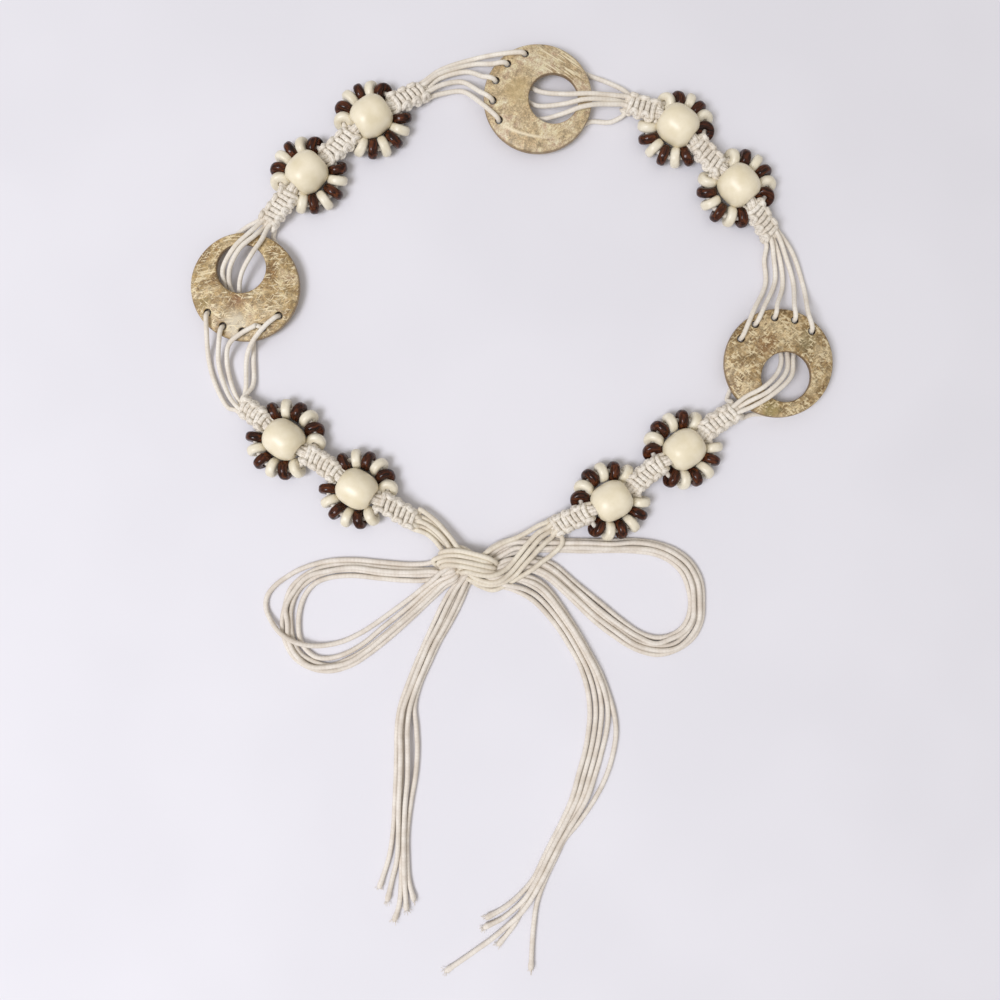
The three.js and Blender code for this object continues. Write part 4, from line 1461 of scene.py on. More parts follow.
@dataclass(frozen=True)
class HalfWreath:
    """Six small beads on one outer cord, round one side of a large bead."""

    number: int
    where: str
    hand: int
    radius: float = 4.75
    half_thickness: float = 2.2
    rim: float = 1.7
    hole: float = 1.3
    lip: float = 0.3
    dish: float = 0.05
    rim_steps: int = 7
    sides: int = 36
    count: int = 6
    first_angle: float = 31.5
    step: float = 23.4
    height: float = 4.8
    cord_along: float = 12.6
    cord_aside: float = 3.4
    cord_rise: float = 1.6
    lean_play: float = 0.08
    yaw_play: float = 0.06
    out_play: float = 0.25
    along_play: float = 0.12

    def circle(self) -> float:
        """Returns how far from the large bead's middle the small beads stand."""
        return WREATH_REACH[self.where][self.number - 1]

    def lean(self, i: int) -> float:
        """Returns how far a small bead leans over, in radians."""
        first, last = WREATH_LEANS[self.where][self.number - 1]
        far = self.count - 1
        return math.radians(first * ((far - i) / far) ** 2 + last * (i / far) ** 2)

    def profile(self) -> Array:
        """Draws the outline of a small bead.

        Returns:
            Rows of radius and place along its hole.
        """
        points = [(self.hole, self.half_thickness - (self.lip + self.dish)),
                  (self.hole + self.lip, self.half_thickness - self.dish)]
        for angle in np.linspace(math.pi / 2, 0.0, self.rim_steps):
            points.append((self.radius - self.rim + self.rim * math.cos(angle),
                           self.half_thickness - self.rim + self.rim * math.sin(angle)))
        return np.array(points + [(r, -z) for r, z in reversed(points)])

    def frame(self) -> tuple[Array, Array, Array]:
        """Works out where the wreath is.

        Returns:
            The large bead's middle, the way along the belt and the way to this side.
        """
        along = way_along(self.number)
        aside = np.array([-along[1], along[0], 0.0]) * self.hand
        return BEADS[self.number - 1], along, aside

    def ways_at(self, i: int) -> tuple[Array, Array]:
        """Works out how a small bead stands.

        Args:
            i: which small bead, from 0.

        Returns:
            The way from the large bead out to it, and the cord's way there.
        """
        _, along, aside = self.frame()
        angle = math.radians(self.first_angle + self.step * i)
        out = -along * math.cos(angle) + aside * math.sin(angle)
        return out, along * math.sin(angle) + aside * math.cos(angle)

    def cord(self, name: str) -> Strand:
        """Lays the cord from bar to bar through the small beads.

        Args:
            name: the cord's name.

        Returns:
            The strand.
        """
        centre, along, aside = self.frame()
        lift = self.height - BEAD_AXIS_HEIGHT
        ends = [centre + along * (sign * self.cord_along) + aside * self.cord_aside
                + [0, 0, lift + self.cord_rise] for sign in (-1, 1)]
        middle = [centre + self.ways_at(i)[0] * self.circle() + [0, 0, lift] for i in range(self.count)]
        return Strand.through(name, np.array([ends[0], *middle, ends[1]]), step=0.8)

    def build(self, cream: Material, dark: Material, cotton: Material) -> list[Piece]:
        """Builds the cream beads, the dark beads and their cord.

        Args:
            cream: the paint of every other bead.
            dark: the stain of the rest.
            cotton: the cord's material.

        Returns:
            The three pieces.
        """
        centre = BEADS[self.number - 1]
        lift = self.height - BEAD_AXIS_HEIGHT
        chance = np.random.default_rng(100 * self.number + self.hand)
        heaps = (MeshParts(), MeshParts())
        for i in range(self.count):
            out, ahead = self.ways_at(i)
            lean = self.lean(i) + chance.uniform(-self.lean_play, self.lean_play)
            yaw = chance.uniform(-self.yaw_play, self.yaw_play)
            axis = unit(ahead * math.cos(lean) + out * yaw + np.array([0.0, 0.0, math.sin(lean)]))
            shift = out * chance.uniform(-self.out_play, self.out_play)
            shift = shift + ahead * chance.uniform(-self.along_play, self.along_play)
            middle = centre + out * self.circle() + shift + [0, 0, lift]
            add_turned(heaps[i % 2], self.profile(), middle, axis, self.sides,
                       seed=7.0 * i + 3.0 * self.number + self.hand)
        node = f"bead_wreath_{self.number}_{self.where}"
        name = f"wreath_{self.number}_{self.where}"
        light = put_on(heaps[0].build(f"{name}_light", cream, "grain"), Cover.CREAM, node)
        brown = put_on(heaps[1].build(f"{name}_dark", dark, "grain"), Cover.DARK, node)
        cord = cord_piece(f"{name}_cord", node, [self.cord(name)], cotton, 17.0 * self.number)
        return [light, brown, cord]


# Knotted bars.

@dataclass(frozen=True)
class BarStop:
    """One end of a bar: its place, and the way into the bar where it starts at a bead."""

    place: Array
    way: Array | None


@dataclass(frozen=True)
class KnotBar:
    """A bar of square knots: two working cords tied round three core cords.

    A row is how far along the bar, how far across it and how far above its line a point is.
    """

    number: int
    start: BarStop
    finish: BarStop
    radius: float = CORD_RADIUS
    knot_pitch: float = 2.5
    fewest_knots: int = 3
    line_step: float = 0.5
    core_step: float = 0.7
    working_step: float = 0.6
    half_width: float = 3.1
    rise: float = 1.9
    slant: float = 0.16
    unevenness: float = 0.3
    core_spacing: float = 1.6
    core_past_end: float = 1.5
    core_level: float = 0.8
    core_freedom: float = 0.35
    gathered_spacing: float = 1.28
    gathered_rise: float = 0.74
    gathered_from: float = 9.0
    bead_inside: float = 6.0
    bead_clear: float = 11.8
    end_clear: float = 0.4
    working_at_bead: Triple = (10.6, 3.4, -2.2)
    working_at_end: Triple = (-0.8, 2.6, -0.9)
    lip_at: float = 8.6
    bend_at: float = 13.0
    sag: float = 0.9
    inward: float = 1.1
    inward_at_lip: float = 0.2

    def axis_line(self) -> Array:
        """Lays the middle line of the bar.

        Returns:
            Its points, from a large bead's middle or a free end to the other.
        """
        points = []
        for stop, sign in ((self.start, 1), (self.finish, -1)):
            near = [stop.place]
            if stop.way is not None:
                inner = sign * np.array([stop.way[1], -stop.way[0], 0.0]) * self.inward
                near += [stop.place + stop.way * self.lip_at + self.inward_at_lip * inner,
                         stop.place + stop.way * self.bend_at + inner - [0.0, 0.0, self.sag]]
            points += near[::sign]
        return smooth_route(np.array(points), self.line_step)

    def placer(self) -> tuple[Placer, float]:
        """Lays out the bar.

        Returns:
            A function that puts a row in place, and the bar's length.
        """
        line = self.axis_line()
        along = marks_along(line)
        ways = np.gradient(line, axis=0)
        ways /= np.linalg.norm(ways, axis=1, keepdims=True)

        def place(s: float, x: float, z: float) -> Array:
            """Puts a row in place.

            Args:
                s: how far along the bar.
                x: how far across it.
                z: how far up from its line.

            Returns:
                The point.
            """
            point = np.array([np.interp(s, along, line[:, k]) for k in range(3)])
            if s < 0.0 or s > along[-1]:
                edge = 0 if s < 0.0 else -1
                point = line[edge] + ways[edge] * (s if s < 0.0 else s - along[-1])
            way = unit(np.array([np.interp(s, along, ways[:, k]) for k in range(3)]))
            across = unit(np.cross(UP, way))
            return point + across * x + np.cross(way, across) * z

        return place, float(along[-1])

    def knots(self, length: float) -> tuple[float, float, int]:
        """Works out the knotting.

        Args:
            length: the bar's length.

        Returns:
            Where it starts and ends, and how many half knots it has.
        """
        first = self.end_clear if self.start.way is None else self.bead_clear
        last = length - (self.end_clear if self.finish.way is None else self.bead_clear)
        count = max(int(round((last - first) / self.knot_pitch)), self.fewest_knots)
        return first, last, count

    def core_end(self, lane: int, stop: BarStop) -> list[Triple]:
        """Lays the end of a core cord.

        Args:
            lane: -1, 0 or 1 across the bar.
            stop: the bar's end.

        Returns:
            Its rows, measured from that end, the outermost first.
        """
        if stop.way is None:
            return [(-self.core_past_end, lane * self.core_spacing, 0.0)]
        x = lane * self.gathered_spacing
        z = self.gathered_rise if lane == 0 else -self.gathered_rise
        return [(self.bead_inside, x, z), (self.gathered_from, x, z)]

    def half_knot(self, s: float, turn: int, pitch: float, jog: Array) -> tuple[list[Triple], list[Triple]]:
        """Lays one half knot.

        Args:
            s: how far along the bar its middle is.
            turn: 1 or -1, the way in which it is tied.
            pitch: its length.
            jog: how uneven it is.

        Returns:
            The rows of the cord that lies over the core and of the one that goes round under it.
        """
        w = self.half_width
        h = self.rise
        lean = turn * pitch * (self.slant + 0.3 * jog[6])
        over = [
            (s - 0.26 * pitch + lean, -turn * (w + 0.45), -0.2 + jog[0]),
            (s - 0.08 * pitch + lean, -turn * 0.8 * w, 0.7 * h),
            (s - 0.02 * pitch + 0.5 * lean, -turn * 0.4 * w, h),
            (s + 0.4 * jog[1], 0.0, h + 0.2 + 0.7 * jog[5]),
            (s + 0.02 * pitch - 0.5 * lean, turn * 0.4 * w, h - 0.1),
            (s + 0.08 * pitch - lean, turn * 0.8 * w, 0.45 * h),
            (s + 0.28 * pitch - lean, turn * (w + 0.3), -0.7 + jog[2]),
        ]
        under = [
            (s - 0.45 * pitch - lean, turn * (w - 0.1), -1.0),
            (s - 0.36 * pitch - lean, turn * (w + 0.35 + jog[7]), 0.6 * h),
            (s - 0.14 * pitch - lean, turn * (w - 0.1), h + 0.5),
            (s + 0.12 * pitch - lean + 0.5 * jog[3], turn * (w - 0.2), h + 0.5),
            (s + 0.34 * pitch - lean, turn * (w + 0.25), 0.4 * h + 0.5 * jog[4]),
            (s + 0.4 * pitch - 0.5 * lean, turn * (w - 0.5), -1.3),
            (s + 0.42 * pitch, turn * 0.5 * w, -h),
            (s + 0.5 * pitch, 0.0, -h - 0.1),
            (s + 0.56 * pitch, -turn * 0.5 * w, -h),
        ]
        return over, under

    def strands(self) -> tuple[list[Strand], list[Strand]]:
        """Lays the cords of the bar.

        Returns:
            The core cords and the working cords.
        """
        place, length = self.placer()
        first, last, count = self.knots(length)
        pitch = (last - first) / count
        chance = np.random.default_rng(self.number)
        cores = []
        for lane in (-1, 0, 1):
            rows = self.core_end(lane, self.start)
            rows += [(s, lane * self.core_spacing, 0.0)
                     for s in (first + self.core_level, (first + last) / 2, last - self.core_level)]
            rows += [(length - s, x, z) for s, x, z in reversed(self.core_end(lane, self.finish))]
            points = np.array([place(*row) for row in rows])
            core = Strand.through(f"core_{lane}", points, 0, self.radius, self.core_step)
            core.freedom *= self.core_freedom
            cores.append(core)
        s, x, z = self.working_at_end if self.start.way is None else self.working_at_bead
        over = [(s, -x, z)]
        under = [(s, x, z)]
        for k in range(count):
            jog = chance.uniform(-self.unevenness, self.unevenness, 8)
            above, below = self.half_knot(first + (k + 0.5) * pitch, 1 if k % 2 == 0 else -1, pitch, jog)
            over += above
            under += below
        flip = 1 if count % 2 == 0 else -1
        s, x, z = self.working_at_end if self.finish.way is None else self.working_at_bead
        over.append((length - s, -flip * x, z))
        under.append((length - s, flip * x, z))
        working = []
        for name, rows in (("over", over), ("under", under)):
            points = np.array([place(*row) for row in rows])
            working.append(Strand.through(name, points, 1, self.radius, self.working_step))
        return cores, working

    def build(self, finish: Material) -> list[Piece]:
        """Builds the core cords and the working cords.

        Args:
            finish: the cotton.

        Returns:
            The two pieces.
        """
        cores, working = self.strands()
        Settling(passes=12, renew=4, press=0.8, own_length=9, calm=0.2).run(cores + working)
        node = f"knot_bar_{self.number}"
        return [cord_piece(f"{node}_{name}", node, strands, finish, 5.0 * self.number, 23.0)
                for name, strands in (("core_cords", cores), ("working_cords", working))]


def knot_bars() -> list[KnotBar]:
    """Lays out the bars.

    Returns:
        The twelve bars in the order of the belt.
    """
    bars = []
    for first, beads, last in RUNS:
        near, far = BEADS[beads[0] - 1], BEADS[beads[1] - 1]
        near_way, far_way = way_along(beads[0]), way_along(beads[1])
        stops = (
            (BarStop(BAR_ENDS[first], None), BarStop(near, -near_way)),
            (BarStop(near, near_way), BarStop(far, -far_way)),
            (BarStop(far, far_way), BarStop(BAR_ENDS[last], None)),
        )
        for start, finish in stops:
            bars.append(KnotBar(len(bars) + 1, start, finish))
    return bars


# The bow. A ribbon of cords has the route of its outer cord and of its inner one.

LAY_ROUNDS = 3
LAY_WINDOW = 2
LAY_SLACK = 0.4


def laid_over(strand: Strand, below: Sequence[Strand]) -> None:
    """Lifts a cord onto the cords under it, where they leave it no room on the table.

    Args:
        strand: the cord, which is changed.
        below: the cords under it.
    """
    plan = strand.path[:, :2]
    height = np.full(len(plan), strand.radius + TABLE_GAP)
    for other in below:
        apart = np.linalg.norm(plan[:, None, :] - other.path[None, :, :2], axis=2)
        nearest = apart.argmin(axis=1)
        reach = strand.radius + other.radius
        gap = np.minimum(apart.min(axis=1), reach)
        height = np.maximum(height, other.path[nearest, 2] + np.sqrt(reach ** 2 - gap ** 2))
    count = len(height)
    window = np.arange(-LAY_WINDOW, LAY_WINDOW + 1)
    near = np.clip(np.arange(count)[:, None] + window, 0, count - 1)
    for _ in range(LAY_ROUNDS):
        height = np.maximum(height, height[near].mean(axis=1))
    for _ in range(LAY_ROUNDS):
        height = height[near].mean(axis=1)
    limit = 3.0 * strand.radius + LAY_SLACK
    strand.path[:, 2] = np.maximum(strand.path[:, 2], np.minimum(height, limit))


@dataclass(frozen=True)
class CordRibbon:
    """A bundle of cords: the routes of its two edges, the cords between them and those on top."""

    name: str
    outer: Points
    inner: Points
    lanes: tuple[float, ...]
    top_lanes: tuple[float, ...]
    wander: float = 0.06

    def strands(self, seed: int) -> list[Strand]:
        """Lays the cords of the bundle.

        Args:
            seed: which way the cords wander in it.

        Returns:
            One strand for each lane, the lower ones first.
        """
        outer, inner = seen(self.outer), seen(self.inner)
        chance = np.random.default_rng(seed)
        strands = []
        for i, lane in enumerate(self.lanes + self.top_lanes):
            wander = self.wander if i >= len(self.lanes) else 0.5 * self.wander
            share = lane + chance.normal(0.0, wander, len(outer))
            points = outer * (1.0 - share[:, None]) + inner * share[:, None]
            strand = Strand.through(f"{self.name}_{i + 1}", points, held=1)
            if i >= len(self.lanes):
                laid_over(strand, strands)
            strands.append(strand)
        return strands


LOOP_LEFT = CordRibbon(
    name="loop_left",
    outer=(
        (-24, -113.8, 4.0), (-30, -114.8, 3.0), (-38, -115.6, 1.6), (-50, -115.6), (-62, -114.6),
        (-75, -113.4), (-87, -114.2), (-97, -118), (-104, -124.4), (-107.9, -133), (-108.4, -140.5),
        (-107, -149), (-102.6, -157), (-95, -161.8), (-86, -163.2), (-76, -160.6), (-67, -155),
        (-57.6, -147.4), (-45.4, -136.6), (-37.4, -128.6), (-31.2, -122.2, 2.2), (-25.4, -118.4, 3.2),
    ),
    inner=(
        (-24, -115.8, 3.4), (-30, -117.6, 2.6), (-38, -120.6, 1.6), (-50, -120.7), (-62, -119.8),
        (-75, -118.4), (-85.4, -119.4), (-92.6, -122.2), (-97.6, -127.4), (-100.2, -134.4),
        (-100.7, -141), (-100, -147.4), (-97.4, -153), (-92.2, -156.4), (-85.8, -157.4),
        (-78.4, -155.2), (-70.4, -150.2), (-61.2, -143), (-48.6, -132.6), (-40, -125),
        (-33.4, -119.4, 2.6), (-26.4, -116.2, 4.0),
    ),
    lanes=(0.0, 0.5, 1.0),
    top_lanes=(0.28,),
)

LOOP_LEFT_STRAY = (
    (-25, -112.8, 4.6), (-32, -113.2, 3.6), (-40, -113.2, 1.6), (-50, -113.2), (-62, -112.2),
    (-75, -111.1), (-88, -112.0), (-99, -115.2), (-106, -119), (-112, -123.5), (-115.5, -128.4),
    (-116, -133.6), (-114, -139, 2.0), (-110, -144.8, 3.6), (-105, -148.5, 3.8), (-100, -150.6, 3.7),
    (-92, -151.6, 2.2), (-81, -149.8), (-72, -145.8), (-65, -141.4), (-55, -134.2), (-45, -126.8),
    (-38, -121.0, 2.0), (-32, -115.6, 4.2), (-26.4, -113.8, 5.4),
)

LOOP_RIGHT = CordRibbon(
    name="loop_right",
    outer=(
        (-14, -110.6, 5.0), (-10, -106.6, 4.0), (-5, -103.2, 3.0), (1, -101.4, 2.0), (9, -101.2),
        (20, -101.9), (34, -102.2), (46, -102.2), (58, -101.9), (68, -103.2), (77, -106.9),
        (83.6, -112.6), (88.2, -121), (89.6, -131), (88.6, -140), (84.4, -147.6), (77, -153.4),
        (67.6, -155.4), (57, -152.6), (46.4, -146), (37.6, -139), (25.6, -127.8), (15.2, -118.8),
        (7, -115.6, 2.0), (-2, -115.6, 3.6), (-9, -116.6, 5.0),
    ),
    inner=(
        (-13, -113.4, 4.2), (-9, -112.0, 3.0), (-4, -109.8, 2.0), (1, -108.0, 1.4), (9, -106.6),
        (20, -106.5), (34, -106.7), (46, -106.7), (58, -107.0), (67, -108.4), (74.4, -112.2),
        (79.4, -117.2), (82.4, -123.6), (83.4, -131), (82.4, -138.2), (79, -143.6), (73.6, -147),
        (67, -147.6), (59.6, -145.4), (50.2, -139), (42, -132.2), (29.6, -121.9), (18.8, -113.4),
        (10.4, -110.4, 2.0), (0, -112.0, 3.6), (-7, -114.6, 5.0),
    ),
    lanes=(0.0, 0.5, 1.0),
    top_lanes=(0.27, 0.74),
)

TAILS = {
    "left": (
        ((-21, -116.8, 5.0), (-23.6, -118.4, 3.6), (-27.0, -122.0, 1.6), (-32, -130), (-36.8, -140),
         (-41.3, -150), (-45.6, -160), (-49.5, -170), (-52.9, -180), (-54.4, -190), (-54.6, -201),
         (-54.9, -213), (-55.4, -225), (-56.2, -238), (-58, -250), (-62.5, -264.5)),
        ((-20.2, -117.6, 3.6), (-21.6, -119.4, 2.4), (-24.0, -122.4), (-28.0, -130), (-32.6, -140),
         (-37.9, -150), (-42.4, -160), (-46.5, -170), (-50.0, -180), (-51.9, -190), (-52.0, -201),
         (-52.2, -213), (-52.8, -225), (-52.5, -240), (-52.4, -252), (-52.6, -265), (-53.4, -273),
         (-55.5, -280)),
        ((-19.6, -118.0, 3.2), (-20.2, -119.6, 2.0), (-21.2, -122.4), (-24.0, -130), (-29.0, -140),
         (-34.8, -150), (-39.4, -160), (-43.8, -170), (-46.2, -180), (-45.4, -189.6), (-44.9, -200),
         (-45.7, -212), (-47.9, -225), (-49.6, -239), (-49.6, -252), (-48.8, -262), (-46.5, -270.6)),
        ((-20.4, -117.2, 5.6), (-22.4, -118.8, 5.0), (-25.6, -123), (-29.9, -131), (-34.4, -140.6),
         (-39.7, -151), (-43.9, -161), (-47.6, -170.6), (-51.2, -180.6), (-52.6, -191), (-52.5, -202),
         (-52.8, -214), (-53.4, -226), (-53.6, -240), (-54.2, -250.6), (-56.6, -261), (-58.8, -270.6)),
        ((-20.6, -117.4, 4.4), (-21.4, -119.2, 3.6), (-22.6, -122.6), (-26.0, -130.6), (-30.8, -140.4),
         (-36.4, -150.4), (-40.9, -160.4), (-45.1, -170.4), (-48.1, -180), (-49.3, -190), (-49.2, -201),
         (-49.3, -213), (-50.4, -226), (-51.0, -240), (-50.9, -254), (-50.6, -264), (-50, -275)),
    ),
    "right": (
        ((-12, -121.4, 4.4), (-6, -123.0, 2.6), (0, -125.0), (9.2, -130), (19.6, -141), (26.2, -151),
         (31.6, -161), (35, -172), (36.2, -182), (35.6, -191), (33.9, -201), (31.0, -211.5), (27.8, -223),
         (22.6, -235), (18.5, -243), (15, -250), (9.6, -261), (3.4, -268.4), (-4, -274.6), (-12, -279)),
        ((-12, -120.4, 3.4), (-6, -120.4, 2.0), (0, -120.4), (12, -125.2), (25.4, -141), (32, -152),
         (37.6, -162.6), (40.8, -173), (41.7, -182), (41, -191), (39.1, -201), (36.3, -211.5),
         (32.7, -223), (25.9, -235), (21.2, -243), (17.7, -250), (12.5, -261), (6.6, -270.4), (1, -282),
         (-6.5, -291.5)),
        ((-12, -119.6, 6.4), (-6, -119.0, 5.4), (1, -117.8, 3.6), (13.6, -122.2, 1.8), (28.6, -142),
         (35.4, -153.6), (41.2, -164.4), (45, -174.4), (47.5, -183), (48.5, -192), (47.1, -202),
         (43.9, -212.6), (38.4, -223.6), (30.6, -235), (24, -243), (20.6, -250), (15.4, -261), (11.4, -272),
         (9.6, -285), (8.5, -303)),
        ((-12, -120.8, 4.0), (-6, -121.8, 2.6), (0, -122.8), (10.6, -127.6), (22.6, -141), (29.2, -151.4),
         (34.6, -162), (37.9, -172.4), (39, -182), (38.3, -191), (36.5, -201), (33.6, -211.5),
         (30.2, -223), (24.2, -235), (19.9, -243), (16.3, -250), (11, -261), (4.6, -271), (-4, -279),
         (-13, -283.5)),
        ((-12, -120.0, 5.4), (-6, -119.6, 4.2), (0, -119.0, 3.2), (12.8, -123.6), (27, -141.6),
         (33.7, -152.6), (39.4, -163.4), (43.2, -173.8), (44.7, -182.4), (44.1, -191), (41.8, -201),
         (38.9, -211.5), (34.6, -223), (27.4, -235), (22.6, -243), (19.1, -250), (13.4, -261),
         (6.4, -273), (-6, -286), (-18, -295), (-31, -304)),
    ),
}

TAIL_CORDS_BELOW = 3

LEADS = {
    "left": (
        ((-44, -87.6, 4.6), (-40, -89.8, 4.4), (-35, -94.0, 4.6), (-30, -99.8, 5.2), (-25.6, -105.4, 5.6),
         (-20, -110.6, 5.4)),
        ((-44, -90.0, 3.4), (-40, -92.2, 3.0), (-35, -96.4, 2.8), (-30.6, -101.4, 3.0),
         (-27, -106.2, 3.4), (-21, -111.6, 3.8)),
        ((-44, -92.6, 4.8), (-40, -94.6, 4.6), (-35.4, -98.2, 4.8), (-31.4, -102.6, 5.2),
         (-28.0, -107.4, 5.2), (-22, -112.6, 5)),
        ((-44, -95.0, 3.2), (-40, -96.8, 2.8), (-36, -100.0, 2.6), (-32.6, -104, 2.6),
         (-29.0, -108.6, 3.0), (-23, -113.6, 3.4)),
        ((-44, -97.4, 4.2), (-40.4, -98.9, 3.8), (-36.6, -102.0, 3.6), (-33.6, -105.8, 3.6),
         (-30.4, -109.8, 3.8), (-24, -114.4, 4.4)),
    ),
    "right": (
        ((17, -93.4, 4.8), (12, -95.2, 5.0), (7, -98.0, 5.2), (2, -100.6, 5.2), (-4, -102.9, 5.6),
         (-10, -106.2, 6.2), (-15, -109.8, 6.6), (-20, -113.4, 5.2)),
        ((17, -95.6, 5.0), (12, -98.4, 6.0), (6.4, -104.2, 6.4), (2, -109.8, 6.4), (-2.6, -115.0, 6.8),
         (-8.2, -118.0, 7.2), (-15, -118.0, 7.8), (-22, -116.6, 6.6), (-26, -116.4, 4.6)),
        ((17.4, -97.6, 4.8), (13, -100.8, 6.0), (8.2, -106.4, 6.6), (3.6, -111.9, 6.6),
         (-1.4, -117.2, 6.6), (-7.6, -120.2, 6.6), (-15, -120.1, 6.6), (-20.4, -117.9, 6.6),
         (-25.0, -114.8, 6.0)),
        ((19.0, -99.6, 4.6), (15, -103.4, 6.0), (10, -108.6, 6.6), (5, -114.2, 6.4), (0.4, -119.2, 5.8),
         (-6.6, -122.0, 5.8), (-14, -122.0, 5.8), (-19.6, -119.6, 5.6), (-24.4, -116.2, 4.8)),
        ((22.4, -99.6, 3.8), (23.2, -103.2, 4.2), (18.4, -108.6, 4.8), (13.4, -112.2, 5.0),
         (8.4, -116.0, 5.0), (3, -119.0, 4.4), (-3.6, -122.2, 3.8), (-10.4, -124.0, 3.2),
         (-17, -122.4, 2.8), (-22, -118.4, 3.0)),
    ),
}

BOW_WRAPS = (
    ((-11, -116.4, 4.0), (-7.4, -113.9, 6.2), (-10.2, -111.8, 7.8), (-15.0, -109.6, 8.4),
     (-20, -108.0, 8.2), (-26, -106.7, 7.4), (-31, -107.4, 6.4), (-33.4, -109.4, 5.0),
     (-31.6, -112.4, 3.6), (-26, -114.4, 3.0)),
    ((-8.8, -114.2, 5.8), (-12.2, -112.6, 7.8), (-20, -110.6, 8.4), (-27, -109.8, 7.4), (-33, -109.6, 6.0),
     (-37, -111.2, 4.2), (-35.4, -113.4, 2.8), (-30, -114.2, 2.8), (-24, -114.8, 3.2)),
    ((-8.6, -115.8, 5.6), (-12, -114.4, 7.8), (-19, -112.8, 8.6), (-26, -111.6, 7.6), (-31.6, -111.4, 6.0),
     (-34.2, -112.6, 4.4), (-32.4, -114.2, 3.4), (-27, -115.0, 3.4)),
    ((-7.4, -116.4, 4.0), (-9.0, -116.4, 6.4), (-12.4, -116.0, 8.2), (-17, -115.2, 9.2),
     (-24, -113.8, 8.8), (-29.6, -113.2, 7.2), (-32.6, -114.2, 4.8), (-31.0, -116.6, 2.8),
     (-26, -118.4, 2.0)),
    ((-17, -111.6, 5.2), (-21, -107.8, 6.0), (-26, -105.8, 5.4), (-30.6, -107.0, 4.0),
     (-31.6, -110.0, 2.8), (-27, -113.0, 1.8)),
    ((-6, -119.4, 4.4), (-12, -118.6, 6.2), (-18, -116.6, 7.6), (-22.4, -114.8, 7.4),
     (-26.6, -112.6, 6.0)),
    ((-30.4, -112.4, 5.2), (-24, -112.0, 5.6), (-17, -112.6, 6.0), (-10, -114.4, 5.4)),
    ((-29, -116.0, 3.2), (-22, -117.0, 4.2), (-15, -118.6, 4.6), (-9, -118.4, 4.6)),
    ((-27, -118.2, 1.6), (-20, -120.6, 1.6), (-13, -121.6, 2.0), (-6, -121.0, 2.6)),
    ((-28, -110.4, 3.0), (-20, -111.0, 2.6), (-12, -114.6, 2.4), (-6, -117.4, 2.2)),
)


